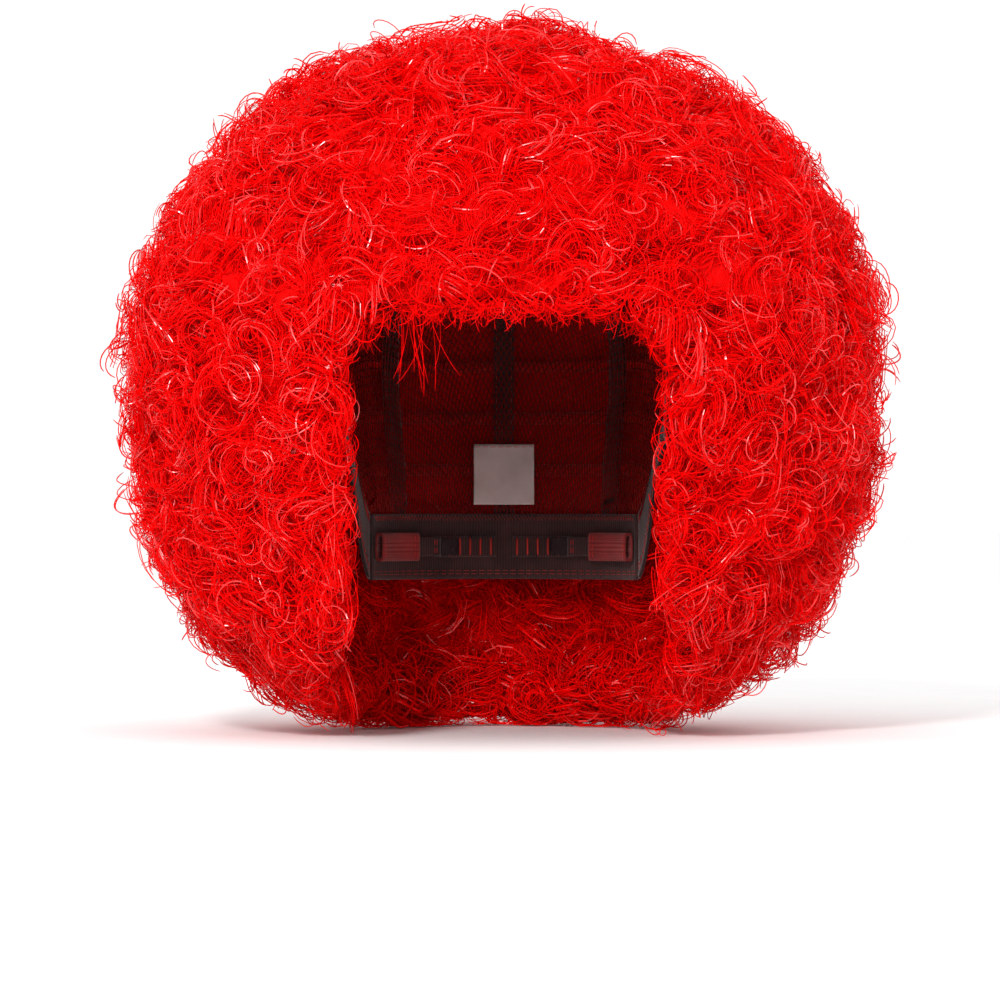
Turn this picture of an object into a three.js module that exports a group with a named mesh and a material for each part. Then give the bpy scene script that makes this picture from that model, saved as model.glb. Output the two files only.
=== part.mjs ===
// A round curly costume wig: a wefted stretch cap that holds its hair in rows.
// Millimetres, +Z up. The face opening looks along -Y, and the wearer's left is +X.
// The origin is the middle of the crown disc's underside, where the top of the head touches the cap.
//
// Every soft piece is described on one of two surfaces, by a polar angle (0 at the crown, 90 at the
// widest level of the head, 180 at the lowest hair) and an azimuth (0 at the face, 180 at the nape):
// hollow() is the head and neck that the wig fits, and envelope() is the outside of the hair.
import * as THREE from "three";
import { mergeVertices } from "three/addons/utils/BufferGeometryUtils.js";

// Driving dimensions
const HEAD_HALF_WIDTH = 77;
const HEAD_HALF_DEPTH = 97;
const CROWN_HEIGHT = 88; // from the head's widest level up to its top
const WALL_HEIGHT = 156; // from the head's widest level down to the lowest hair
const NAPE_LEVEL = -150; // where the back of the head has drawn in to the neck
const NAPE_END = -184; // the hair hangs free of the cap below this
const NAPE_HALF_WIDTH = 71;
const NAPE_DEPTH = 80;
const NECK_HALF_WIDTH = 60;
const NECK_DEPTH = 64;

const HAIR_HALF_WIDTH = 163;
const HAIR_HALF_DEPTH = 147;
const HAIR_TOP = 57;
const HAIR_BOTTOM = -251; // of the whole rounded form, which the neck cuts off before it closes
const HAIR_WIDEST_LEVEL = -93;
const HAIR_SET_BACK = 24; // the hair is centred this far behind the head's middle
const HAIR_SQUARENESS = 2.5; // superellipse exponent of the hair below its widest level

// The layers of the cap, as distances out from the head
const CLOTH_LAYER = [0.3, 1.1];
const RIBBON_LAYER = [2.1, 2.9];
const WEFT_LAYER = [3.8, 5.4];
const HAIR_CLEARANCE = 7;
const SEAM_GAP = 0.6;
const NET_SEAM_GAP = 5;
const NET_BACK_SEAM = 0.4; // degrees from the middle of the back to each edge of the net

// The cap's lower edge: its level at the forehead, and each fall [from azimuth, to azimuth, drop]
const FOREHEAD_EDGE = -66;
const EDGE_FALLS = [
  [46, 58, 24], // forehead to temple
  [76, 82, 6], // temple to the top of the ear
  [106, 128, 84], // behind the ear, down to the nape
];
const FRONT_BAND_HEIGHT = 20;
const SIDE_BINDING_HEIGHT = 8;
const NAPE_BAND_HEIGHT = 28;
const BAND_NARROWS = [78, 84]; // azimuths, at the temple
const BAND_WIDENS = [102, 118]; // azimuths, behind the ear
const FRONT_BAND_END = 76;
const SIDE_BINDING_SPAN = [77, 127];

const CROWN_DISC_RADIUS = 11.5;
const NET_START = 10;
const RIBBON_WIDTH = 9;
const RIBBON_START = 13;
const SIDE_RIBBON_AZIMUTH = 72;
const REAR_RIBBON_AZIMUTH = 142;
const WEFT_HALF_HEIGHT = 1.4;

const EAR_TAB_MIDDLE = 65;
const EAR_TAB_HALF_SPAN = 8;
const EAR_TAB_HEIGHT = 34;
const EAR_TAB_NARROWING = 0.45; // how much of its width is lost at its lower end

const LABEL_HALF_WIDTH = 13;
const LABEL_LEVELS = [-148, -122];
const LABEL_LAYER = [-1.6, -0.9]; // inside the head's surface, at the label's sewn top
const LABEL_CURL = 2; // how far its free end and its sides stand off

// The nape band and the two adjusters lie on arcs about one upright axis
const NAPE_RADIUS = 66;
const NAPE_CENTRE_Y = 14;
const NAPE_BAND_END = 58;
const ADJUSTER_LEVEL = -166;
const ADJUSTER_RADIUS = 62.3;
const STRAP_THICKNESS = 0.8;
const STRAP_HEIGHT = 8;
const STRAP_SPAN = [26, 55];
const SLEEVE_SPAN = [36, 57];
const SLEEVE_RADII = [60.9, 65.4];
const SLEEVE_WALL = 1.6;
const SLOT_CLEARANCE = 0.4;
const LADDER_SPAN = [3, 27];
const LADDER_RADII = [65.2, 65.7];
const LADDER_HEIGHT = 9;
const RUNG_COUNT = 6;
const RUNG_RISE = 0.6;
const HOOK_LENGTH = 7.5;
const HOOK_BEND = 0.7;
const HOOK_HEIGHT = 7;
const HOOK_TONGUE = 4.1;
const HOOK_GAP = 0.3; // from the strap's end

const { lerp, degToRad, smoothstep } = THREE.MathUtils;
const wig = new THREE.Group();

function material(color, roughness, metalness = 0) {
  return new THREE.MeshStandardMaterial({ color, roughness, metalness });
}

const hairFibre = material(0xe00f08, 0.45);
const capNet = material(0x5c1512, 0.8);
const elastic = material(0x241414, 0.85);
const liningCloth = material(0x7a1410, 0.75);
const weftStitching = material(0xa01510, 0.7);
const hookPlastic = material(0x1c1c1e, 0.35);
const labelSatin = material(0xf1efe9, 0.5);

function add(name, geometry, meshMaterial) {
  const mesh = new THREE.Mesh(facingOut(geometry), meshMaterial);
  mesh.name = name;
  wig.add(mesh);
  return mesh;
}

// Merges the vertices that neighbouring sides share, and turns the faces outward.
function facingOut(geometry) {
  geometry.deleteAttribute("normal");
  geometry.deleteAttribute("uv");
  const solid = mergeVertices(geometry, 1e-4);
  const corners = [0, 1, 2].map(() => new THREE.Vector3());
  const order = solid.index.array;
  let volume = 0;
  for (let i = 0; i < order.length; i += 3) {
    corners.forEach((corner, k) => corner.fromBufferAttribute(solid.attributes.position, order[i + k]));
    volume += corners[0].dot(corners[1].cross(corners[2]));
  }
  if (volume < 0) {
    for (let i = 0; i < order.length; i += 3) {
      [order[i], order[i + 1]] = [order[i + 1], order[i]];
    }
  }
  solid.computeVertexNormals();
  return solid;
}

// Moves every vertex of a geometry to place(x, y, z).
function warp(geometry, place) {
  const positions = geometry.attributes.position;
  for (let i = 0; i < positions.count; i += 1) {
    const at = place(positions.getX(i), positions.getY(i), positions.getZ(i));
    positions.setXYZ(i, at.x, at.y, at.z);
  }
  return geometry;
}

// A box bent over a surface: place(u, v, w) takes each from 0 to 1, along, across and through it.
function bentBox([along, across, through = 1], place) {
  const box = new THREE.BoxGeometry(1, 1, 1, along, across, through).translate(0.5, 0.5, 0.5);
  return warp(box, place);
}

function polarOfLevel(z) {
  if (z >= -CROWN_HEIGHT) {
    return THREE.MathUtils.radToDeg(Math.acos(1 + z / CROWN_HEIGHT));
  }
  return 90 + (90 * (-CROWN_HEIGHT - z)) / WALL_HEIGHT;
}

// The half width and the depth behind the middle of the head or neck at a level below its widest.
function wallSection(z) {
  const drawn = smoothstep(-z, CROWN_HEIGHT, -NAPE_LEVEL);
  const free = smoothstep(-z, -NAPE_END, CROWN_HEIGHT + WALL_HEIGHT);
  const width = lerp(lerp(HEAD_HALF_WIDTH, NAPE_HALF_WIDTH, drawn), NECK_HALF_WIDTH, free);
  const depth = lerp(lerp(HEAD_HALF_DEPTH, NAPE_DEPTH, drawn), NECK_DEPTH, free);
  return [width, depth];
}

function hollow(polar, azimuth, offset) {
  const turn = degToRad(azimuth);
  const ahead = Math.cos(turn);
  if (polar <= 90) {
    const tilt = degToRad(polar);
    return new THREE.Vector3(
      (HEAD_HALF_WIDTH + offset) * Math.sin(tilt) * Math.sin(turn),
      -(HEAD_HALF_DEPTH + offset) * Math.sin(tilt) * ahead,
      (CROWN_HEIGHT + offset) * Math.cos(tilt) - CROWN_HEIGHT,
    );
  }
  const z = -CROWN_HEIGHT - (WALL_HEIGHT * (polar - 90)) / 90;
  const [width, depth] = wallSection(z);
  const reach = ahead > 0 ? HEAD_HALF_DEPTH : depth;
  return new THREE.Vector3(
    (width + offset) * Math.sin(turn),
    -(reach + offset) * ahead,
    z,
  );
}

function envelope(polar, azimuth) {
  const turn = degToRad(azimuth);
  const tilt = degToRad(polar);
  const power = polar > 90 ? 2 / HAIR_SQUARENESS : 1;
  const out = Math.sin(tilt) ** power;
  const up = Math.abs(Math.cos(tilt)) ** power;
  const rise = polar > 90 ? HAIR_BOTTOM - HAIR_WIDEST_LEVEL : HAIR_TOP - HAIR_WIDEST_LEVEL;
  return new THREE.Vector3(
    HAIR_HALF_WIDTH * out * Math.sin(turn),
    HAIR_SET_BACK - HAIR_HALF_DEPTH * out * Math.cos(turn),
    HAIR_WIDEST_LEVEL + rise * up,
  );
}

// A patch of cloth between two azimuths, from bottom(azimuth) to top(azimuth), both levels.
function clothPatch(span, bottom, top, layer, along, across) {
  return bentBox([along, across], (u, v, w) => {
    const azimuth = lerp(span[0], span[1], u);
    const size = Math.abs(azimuth);
    const z = lerp(bottom(size), top(size), v);
    return hollow(polarOfLevel(z), azimuth, lerp(layer[0], layer[1], w));
  });
}

function edgeLevel(azimuth) {
  return EDGE_FALLS.reduce(
    (z, [start, end, drop]) => z - drop * smoothstep(azimuth, start, end),
    FOREHEAD_EDGE,
  );
}

function bandHeight(azimuth) {
  const narrowed = smoothstep(azimuth, ...BAND_NARROWS);
  const widened = smoothstep(azimuth, ...BAND_WIDENS);
  return (
    FRONT_BAND_HEIGHT +
    (SIDE_BINDING_HEIGHT - FRONT_BAND_HEIGHT) * narrowed +
    (NAPE_BAND_HEIGHT - SIDE_BINDING_HEIGHT) * widened
  );
}

const bandTop = (azimuth) => edgeLevel(azimuth) + bandHeight(azimuth);

function crownDisc() {
  const thickness = CLOTH_LAYER[1] - CLOTH_LAYER[0];
  const disc = new THREE.CylinderGeometry(CROWN_DISC_RADIUS, CROWN_DISC_RADIUS, thickness, 32);
  disc.rotateX(Math.PI / 2).translate(0, 0, thickness / 2);
  add("crown_disc", disc, liningCloth);
}

// The net's two edges meet in a seam at the middle of the back, under the back ribbon.
function crownNet() {
  const net = bentBox([50, 9], (u, v, w) => {
    const azimuth = (180 - NET_BACK_SEAM) * (2 * u - 1);
    const end = polarOfLevel(bandTop(Math.abs(azimuth)) + NET_SEAM_GAP);
    return hollow(lerp(NET_START, end, v), azimuth, lerp(CLOTH_LAYER[0], CLOTH_LAYER[1], w));
  });
  add("crown_net", net, capNet);
}

function frontBand() {
  const span = [-FRONT_BAND_END, FRONT_BAND_END];
  add("front_band", clothPatch(span, edgeLevel, bandTop, CLOTH_LAYER, 32, 2), liningCloth);
}

// The elastic edge over and behind the ear. side is 1 on the wearer's left and -1 on the right.
function sideBinding(name, side) {
  const span = SIDE_BINDING_SPAN.map((azimuth) => side * azimuth);
  add(name, clothPatch(span, edgeLevel, bandTop, CLOTH_LAYER, 20, 1), elastic);
}

// The stitched tab in front of the ear, hanging on its seam under the front band.
function earTab(name, side) {
  const top = edgeLevel(EAR_TAB_MIDDLE) - SEAM_GAP;
  const tab = bentBox([5, 4], (u, v, w) => {
    const narrowing = 1 - EAR_TAB_NARROWING * (1 - v) ** 2;
    const azimuth = EAR_TAB_MIDDLE + EAR_TAB_HALF_SPAN * narrowing * (2 * u - 1);
    const polar = polarOfLevel(top - EAR_TAB_HEIGHT * (1 - v));
    return hollow(polar, side * azimuth, lerp(CLOTH_LAYER[0], CLOTH_LAYER[1], w));
  });
  add(name, tab, liningCloth);
}

// A flat elastic strap down the cap from the crown to the band at the cap's edge.
function ribbon(name, azimuth) {
  const size = Math.abs(azimuth);
  const end = polarOfLevel(edgeLevel(size) + bandHeight(size) / 2);
  const strap = bentBox([1, 11], (u, v, w) => {
    const polar = lerp(RIBBON_START, end, v);
    const middle = hollow(polar, azimuth, lerp(RIBBON_LAYER[0], RIBBON_LAYER[1], w));
    const sideways = hollow(polar, azimuth + 1, 0).sub(hollow(polar, azimuth - 1, 0)).normalize();
    return middle.addScaledVector(sideways, RIBBON_WIDTH * (u - 0.5));
  });
  add(name, strap, elastic);
}

// The stitched head of one weft, from the azimuth start round the back to the same azimuth.
function weftTrack(name, polar, start) {
  const track = bentBox([26, 1], (u, v, w) => {
    const azimuth = lerp(start, 360 - start, u);
    const level = polar + WEFT_HALF_HEIGHT * (2 * v - 1);
    return hollow(level, azimuth, lerp(WEFT_LAYER[0], WEFT_LAYER[1], w));
  });
  add(name, track, weftStitching);
}

// A point on an arc about the nape's upright axis. Bearing 0 is the middle of the back.
function onNapeArc(radius, bearing, z) {
  const turn = degToRad(bearing);
  return new THREE.Vector3(radius * Math.sin(turn), NAPE_CENTRE_Y + radius * Math.cos(turn), z);
}

function arcStrip(span, radii, bottom, height, along) {
  return bentBox([along, 1], (u, v, w) =>
    onNapeArc(lerp(radii[0], radii[1], w), lerp(span[0], span[1], u), bottom + height * v),
  );
}

function napeBand() {
  const radii = CLOTH_LAYER.map((layer) => NAPE_RADIUS + layer);
  const bottom = edgeLevel(180);
  const height = NAPE_BAND_HEIGHT;
  add("nape_band", arcStrip([-NAPE_BAND_END, NAPE_BAND_END], radii, bottom, height, 28), elastic);
}

// The tape of loops that the hook catches in, with its loops as raised rungs.
function adjusterLadder(name, side) {
  const stepsToRung = 3;
  const tape = bentBox([RUNG_COUNT * stepsToRung, 1], (u, v, w) => {
    const raised = Math.sin(Math.PI * RUNG_COUNT * u) ** 2 * RUNG_RISE;
    const radius = lerp(LADDER_RADII[0] - raised, LADDER_RADII[1], w);
    const bearing = side * lerp(LADDER_SPAN[0], LADDER_SPAN[1], u);
    return onNapeArc(radius, bearing, ADJUSTER_LEVEL + LADDER_HEIGHT * (v - 0.5));
  });
  add(name, tape, elastic);
}

// The cloth tunnel that the strap slides in: a rectangle with a slot in it, drawn out along the arc.
function adjusterSleeve(name, side) {
  const halfSlotHeight = STRAP_HEIGHT / 2 + SLOT_CLEARANCE;
  const halfSlotDepth = STRAP_THICKNESS / 2 + SLOT_CLEARANCE;
  const [inside, outside] = SLEEVE_RADII.map((radius) => radius - ADJUSTER_RADIUS);
  const halfHeight = halfSlotHeight + SLEEVE_WALL;
  const section = new THREE.Shape()
    .moveTo(inside, -halfHeight)
    .lineTo(outside, -halfHeight)
    .lineTo(outside, halfHeight)
    .lineTo(inside, halfHeight)
    .closePath();
  const slot = new THREE.Path()
    .moveTo(-halfSlotDepth, -halfSlotHeight)
    .lineTo(-halfSlotDepth, halfSlotHeight)
    .lineTo(halfSlotDepth, halfSlotHeight)
    .lineTo(halfSlotDepth, -halfSlotHeight)
    .closePath();
  section.holes.push(slot);
  const tunnel = new THREE.ExtrudeGeometry(section, { depth: 1, steps: 10, bevelEnabled: false });
  warp(tunnel, (x, y, z) => {
    const bearing = side * lerp(SLEEVE_SPAN[0], SLEEVE_SPAN[1], z);
    return onNapeArc(ADJUSTER_RADIUS + x, bearing, ADJUSTER_LEVEL + y);
  });
  add(name, tunnel, liningCloth);
}

function adjusterStrap(name, side) {
  const half = STRAP_THICKNESS / 2;
  const radii = [ADJUSTER_RADIUS - half, ADJUSTER_RADIUS + half];
  const span = STRAP_SPAN.map((bearing) => side * bearing);
  const bottom = ADJUSTER_LEVEL - STRAP_HEIGHT / 2;
  add(name, arcStrip(span, radii, bottom, STRAP_HEIGHT, 14), elastic);
}

// A flat hook whose tongue is bent back towards the loops. Its outline lies in the plan.
function adjusterHook(name, side) {
  const half = STRAP_THICKNESS / 2;
  const bendAt = HOOK_LENGTH - HOOK_BEND;
  const outline = new THREE.Shape()
    .moveTo(0, -half)
    .lineTo(bendAt, -half)
    .absarc(bendAt, HOOK_BEND, HOOK_BEND + half, -Math.PI / 2, Math.PI / 2, false)
    .lineTo(bendAt - HOOK_TONGUE, 2 * HOOK_BEND + half)
    .lineTo(bendAt - HOOK_TONGUE, 2 * HOOK_BEND - half)
    .lineTo(bendAt, 2 * HOOK_BEND - half)
    .absarc(bendAt, HOOK_BEND, HOOK_BEND - half, Math.PI / 2, -Math.PI / 2, true)
    .lineTo(0, half)
    .closePath();
  const options = { depth: HOOK_HEIGHT, bevelEnabled: false, curveSegments: 6 };
  const hook = new THREE.ExtrudeGeometry(outline, options);
  warp(hook, (x, y, z) => {
    const bearing = STRAP_SPAN[0] - THREE.MathUtils.radToDeg((x + HOOK_GAP) / ADJUSTER_RADIUS);
    return onNapeArc(ADJUSTER_RADIUS + y, side * bearing, ADJUSTER_LEVEL + z - HOOK_HEIGHT / 2);
  });
  add(name, hook, hookPlastic);
}

// A blank satin label, sewn by its top edge to the back of the net, inside.
function careLabel() {
  const label = bentBox([4, 5], (u, v, w) => {
    const offset = lerp(LABEL_LAYER[0], LABEL_LAYER[1], w) - LABEL_CURL * (1 - v) ** 2;
    const back = hollow(polarOfLevel(lerp(LABEL_LEVELS[0], LABEL_LEVELS[1], v)), 180, offset);
    const sideways = 2 * u - 1;
    return back.setX(LABEL_HALF_WIDTH * sideways).setY(back.y - LABEL_CURL * sideways ** 2);
  });
  add("care_label", label, labelSatin);
}

// Where each hair row begins and ends, on the cap and on the outside of the hair, as polar angles
const ROW_ENDS_ON_CAP = [0, 22, 45, 76, 108, 130, 180];
const ROW_ENDS_OUTSIDE = [0, 24, 50, 81.5, 104, 126, 160];
const ROWS_ABOVE_FACE = 3;
const ROW_GAP = 1.1;
const LOCK_GAP = 0.6;

// The azimuths of the face opening's edge, on the cap and on the outside of the hair: at the fringe,
// where its upper corner has rounded out, and at the lowest hair. Both stretches are row positions.
const FRINGE_EDGE = [46, 15];
const TEMPLE_EDGE = [53, 23];
const LOWEST_EDGE = [76, 54];
const CORNER_STRETCH = [3, 3.5];
const DRAWN_BACK_STRETCH = [4.5, 6];

function faceEdge(row) {
  const rounding = Math.sqrt(smoothstep(row, ...CORNER_STRETCH));
  const drawnBack = smoothstep(row, ...DRAWN_BACK_STRETCH);
  return FRINGE_EDGE.map((fringe, i) => {
    const temple = lerp(fringe, TEMPLE_EDGE[i], rounding);
    return temple + (LOWEST_EDGE[i] - TEMPLE_EDGE[i]) * drawnBack;
  });
}

// One mass of hair: a stretch of a row, between two shares of the way from the face to the nape.
function hairMass(name, row, shares, side) {
  const belowHairline = row > ROWS_ABOVE_FACE;
  const mass = bentBox([6, 4, 3], (u, v, w) => {
    const at = row - 1 + v;
    const gap = ROW_GAP * (1 - 2 * v);
    const cap = lerp(ROW_ENDS_ON_CAP[row - 1], ROW_ENDS_ON_CAP[row], v) + gap;
    const outside = lerp(ROW_ENDS_OUTSIDE[row - 1], ROW_ENDS_OUTSIDE[row], v) + gap;
    const [capEdge, outsideEdge] = belowHairline ? faceEdge(at) : [0, 0];
    const share = lerp(shares[0], shares[1], u);
    const inset = LOCK_GAP * (1 - 2 * u);
    const inner = hollow(cap, side * (lerp(capEdge, 180, share) + inset), HAIR_CLEARANCE);
    const outer = envelope(outside, side * (lerp(outsideEdge, 180, share) + inset));
    return inner.lerp(outer, w);
  });
  add(name, mass, hairFibre);
}

// The round mass on top of the crown, turned about the upright axis as (polar angle, depth).
function hairCrown() {
  const steps = 4;
  const end = ROW_ENDS_ON_CAP[1] - ROW_GAP;
  const profile = [];
  for (let i = 0; i <= steps; i += 1) {
    profile.push(new THREE.Vector2((end * i) / steps, 0));
  }
  for (let i = steps; i >= 0; i -= 1) {
    profile.push(new THREE.Vector2((end * i) / steps, 1));
  }
  const crown = new THREE.LatheGeometry(profile, 36);
  warp(crown, (x, y, z) => {
    const polar = Math.hypot(x, z);
    const azimuth = THREE.MathUtils.radToDeg(Math.atan2(x, z));
    const inner = hollow(polar, azimuth, HAIR_CLEARANCE);
    const outerEnd = ROW_ENDS_OUTSIDE[1] - ROW_GAP;
    return inner.lerp(envelope((polar * outerEnd) / end, azimuth), y);
  });
  add("hair_row_1_crown", crown, hairFibre);
}

crownDisc();
crownNet();
frontBand();
napeBand();
careLabel();

for (const [hand, side] of [["left", 1], ["right", -1]]) {
  sideBinding(`side_binding_${hand}`, side);
  earTab(`ear_tab_${hand}`, side);
  ribbon(`cap_ribbon_side_${hand}`, side * SIDE_RIBBON_AZIMUTH);
  ribbon(`cap_ribbon_rear_${hand}`, side * REAR_RIBBON_AZIMUTH);
  adjusterSleeve(`adjuster_sleeve_${hand}`, side);
  adjusterStrap(`adjuster_strap_${hand}`, side);
  adjusterHook(`adjuster_hook_${hand}`, side);
  adjusterLadder(`adjuster_ladder_${hand}`, side);
}
ribbon("cap_ribbon_front", 0);
ribbon("cap_ribbon_back", 180);

// The crown's wefts go all the way round, and the lower ones stop behind the temples or the ears
const WEFTS = [
  [15, 4],
  [27, 2],
  [39, 2],
  [51, 2],
  [63, 2],
  [74, 50],
  [90, 82],
  [103, 112],
  [116, 120],
  [131, 126],
];
WEFTS.forEach(([polar, start], i) => weftTrack(`weft_track_${i + 1}`, polar, start));

hairCrown();
const UPPER_LOCKS = { front: [0, 1 / 3], side: [1 / 3, 2 / 3], back: [2 / 3, 1] };
const LOWER_LOCKS = { side: [0, 0.5], back: [0.5, 1] };
for (let row = 2; row < ROW_ENDS_ON_CAP.length; row += 1) {
  const locks = row > ROWS_ABOVE_FACE ? LOWER_LOCKS : UPPER_LOCKS;
  for (const [where, shares] of Object.entries(locks)) {
    hairMass(`hair_row_${row}_${where}_left`, row, shares, 1);
    hairMass(`hair_row_${row}_${where}_right`, row, shares, -1);
  }
}

export default wig;
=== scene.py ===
"""A round curly costume wig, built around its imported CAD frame. Metres, +Z up, face opening towards -Y.

The hair is real geometry: every fibre is a thin closed tube on a coil, grown in clumps that share a curl,
over a packed inner mass. The cap inside is made of its cloths, wefts, net, stitches and adjusters.
"""

import math
from types import SimpleNamespace as Kind

import bpy
import numpy as np
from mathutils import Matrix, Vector


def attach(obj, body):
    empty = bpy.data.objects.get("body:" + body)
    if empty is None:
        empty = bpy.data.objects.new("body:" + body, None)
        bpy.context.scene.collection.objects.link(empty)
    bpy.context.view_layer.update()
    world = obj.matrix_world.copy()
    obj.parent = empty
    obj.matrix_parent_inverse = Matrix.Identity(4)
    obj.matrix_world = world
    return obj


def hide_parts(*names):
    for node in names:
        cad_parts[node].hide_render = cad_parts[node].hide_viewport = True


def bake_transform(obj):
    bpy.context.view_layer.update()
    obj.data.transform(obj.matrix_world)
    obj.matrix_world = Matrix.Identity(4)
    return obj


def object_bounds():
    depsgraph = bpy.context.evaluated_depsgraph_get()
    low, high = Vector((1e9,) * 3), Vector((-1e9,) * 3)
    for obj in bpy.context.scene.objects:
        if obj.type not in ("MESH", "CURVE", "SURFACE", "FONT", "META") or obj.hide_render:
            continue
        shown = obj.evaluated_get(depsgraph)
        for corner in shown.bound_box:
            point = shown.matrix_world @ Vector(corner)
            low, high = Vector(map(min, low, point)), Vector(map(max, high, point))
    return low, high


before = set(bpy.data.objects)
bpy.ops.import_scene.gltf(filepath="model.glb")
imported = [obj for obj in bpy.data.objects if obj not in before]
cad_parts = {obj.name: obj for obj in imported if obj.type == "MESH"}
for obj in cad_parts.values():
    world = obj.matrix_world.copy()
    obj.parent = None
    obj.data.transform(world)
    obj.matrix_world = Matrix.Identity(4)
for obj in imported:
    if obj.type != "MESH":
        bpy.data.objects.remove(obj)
cad_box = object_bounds()
TAU = 2 * math.pi
DENSITY = 1.0  # the share of the fibres that are made

# ---------------------------------------------------------------- the hollow and the outside of the hair

HEAD_HALF_WIDTH = 0.077
HEAD_HALF_DEPTH = 0.097
CROWN_HEIGHT = 0.088  # from the crown down to the widest level of the head
WALL_HEIGHT = 0.156  # from there down to the bottom of the hollow
NAPE_LEVEL = -0.150
NAPE_END = -0.184
NAPE_SECTION = (0.071, 0.080)
NECK_SECTION = (0.060, 0.064)
NAPE_RADIUS = 0.066
NAPE_CENTRE_Y = 0.014

HAIR_HALF_WIDTH = 0.163
HAIR_HALF_DEPTH = 0.147
HAIR_TOP = 0.057
HAIR_BOTTOM = -0.251
HAIR_WIDEST_LEVEL = -0.093
HAIR_SET_BACK = 0.024
HAIR_SQUARENESS = 2.5  # of the lower half's outline: 2 would be an ellipse
HAIR_CLEARANCE = 0.007  # between the head and the roots of the hair
HAIR_CENTRE = np.array([0, HAIR_SET_BACK, HAIR_WIDEST_LEVEL])

ROWS = np.arange(7)
ROW_ENDS_ON_CAP = np.array([0, 22, 45, 76, 108, 130, 180.0])  # degrees from the crown
ROW_ENDS_OUTSIDE = np.array([0, 24, 50, 81.5, 104, 126, 160.0])
ROWS_ABOVE_FACE = 3
SIDES = (("left", 1), ("right", -1))
UPPER_LOCKS = {"front": (0, 1 / 3), "side": (1 / 3, 2 / 3), "back": (2 / 3, 1)}
LOWER_LOCKS = {"side": (0, 0.5), "back": (0.5, 1)}
FACE_EDGE_ON_CAP = (46, 7, 23)  # degrees: at the forehead, more at the cheek, more again at the neck
FACE_EDGE_OUTSIDE = (15, 8, 31)
FACE_ROUNDED_OVER = 0.5  # rows over which the forehead's edge turns into the cheek's
FACE_DRAWN_FROM = 4.5  # the place in the rows from which the edge draws back to the neck

FOREHEAD_EDGE = -0.066
EDGE_FALLS = ((46, 58, 0.024), (76, 82, 0.006), (106, 128, 0.084))  # from, to, drop of the cap's edge
FRONT_BAND_HEIGHT = 0.020
BAND_STEPS = ((78, 84, -0.012), (102, 118, 0.020))

WAVES_IN_OCTAVE = 6
OCTAVE_SCALE = 0.6  # of the octave before
OCTAVE_WEIGHT = 0.62
WAVE_RANGE = 3.2  # what the waves seldom add up to
LUMP_SCALE = 0.050  # from one wave to the next
SWIRL_SCALE = 0.065
SHADE_SCALE = 0.040


def lerp(a, b, t):
    return a + (b - a) * t


def smoothstep(x, low, high):
    t = np.clip((x - low) / (high - low), 0, 1)
    return t * t * (3 - 2 * t)


def unit(v):
    return v / np.maximum(np.linalg.norm(v, axis=-1, keepdims=True), 1e-12)


def points(x, y, z):
    return np.stack(np.broadcast_arrays(x, y, z), axis=-1)


def grid(rows, columns):
    """u across the columns and v up the rows, both from 0 to 1."""
    return np.meshgrid(np.linspace(0, 1, columns), np.linspace(0, 1, rows))


def steps_along(line):
    return np.linalg.norm(np.diff(line, axis=0), axis=1)


def wall_section(z):
    """Half the hollow's width and depth at a level: drawn in at the nape, and again at the neck."""
    drawn = smoothstep(-z, CROWN_HEIGHT, -NAPE_LEVEL)
    free = smoothstep(-z, -NAPE_END, CROWN_HEIGHT + WALL_HEIGHT)
    width = lerp(lerp(HEAD_HALF_WIDTH, NAPE_SECTION[0], drawn), NECK_SECTION[0], free)
    depth = lerp(lerp(HEAD_HALF_DEPTH, NAPE_SECTION[1], drawn), NECK_SECTION[1], free)
    return width, depth


def hollow(polar, azimuth, offset):
    """The head and neck that the wig fits, moved out by offset. Degrees from the crown and from the face."""
    polar, azimuth, offset = np.broadcast_arrays(polar, azimuth, offset)
    turn, tilt = np.radians(azimuth), np.radians(np.minimum(polar, 90))
    z_wall = -CROWN_HEIGHT - WALL_HEIGHT * np.maximum(polar - 90, 0) / 90
    width, depth = wall_section(z_wall)
    depth = np.where(np.cos(turn) > 0, HEAD_HALF_DEPTH, depth)
    z = np.where(polar > 90, z_wall, (CROWN_HEIGHT + offset) * np.cos(tilt) - CROWN_HEIGHT)
    x = (width + offset) * np.sin(tilt) * np.sin(turn)
    y = -(depth + offset) * np.sin(tilt) * np.cos(turn)
    return points(x, y, z)


def envelope(polar, azimuth):
    """The outside of the hair."""
    polar, azimuth = np.broadcast_arrays(polar, azimuth)
    turn, tilt = np.radians(azimuth), np.radians(polar)
    power = np.where(polar > 90, 2 / HAIR_SQUARENESS, 1.0)
    out = np.sin(tilt) ** power
    up = np.abs(np.cos(tilt)) ** power
    rise = np.where(polar > 90, HAIR_BOTTOM, HAIR_TOP) - HAIR_WIDEST_LEVEL
    x = HAIR_HALF_WIDTH * out * np.sin(turn)
    y = HAIR_SET_BACK - HAIR_HALF_DEPTH * out * np.cos(turn)
    return points(x, y, HAIR_WIDEST_LEVEL + rise * up)


def polar_of_level(z):
    """Degrees from the crown at which the hollow has this level."""
    z = np.asarray(z, float)
    dome = np.degrees(np.arccos(np.clip(1 + z / CROWN_HEIGHT, -1, 1)))
    return np.where(z >= -CROWN_HEIGHT, dome, 90 + 90 * (-CROWN_HEIGHT - z) / WALL_HEIGHT)


def edge_level(azimuth):
    """The level of the cap's lower edge."""
    size = np.abs(azimuth)
    return FOREHEAD_EDGE - sum(drop * smoothstep(size, a, b) for a, b, drop in EDGE_FALLS)


def band_height(azimuth):
    """The height of the band along the cap's lower edge."""
    size = np.abs(azimuth)
    return FRONT_BAND_HEIGHT + sum(step * smoothstep(size, a, b) for a, b, step in BAND_STEPS)


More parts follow.
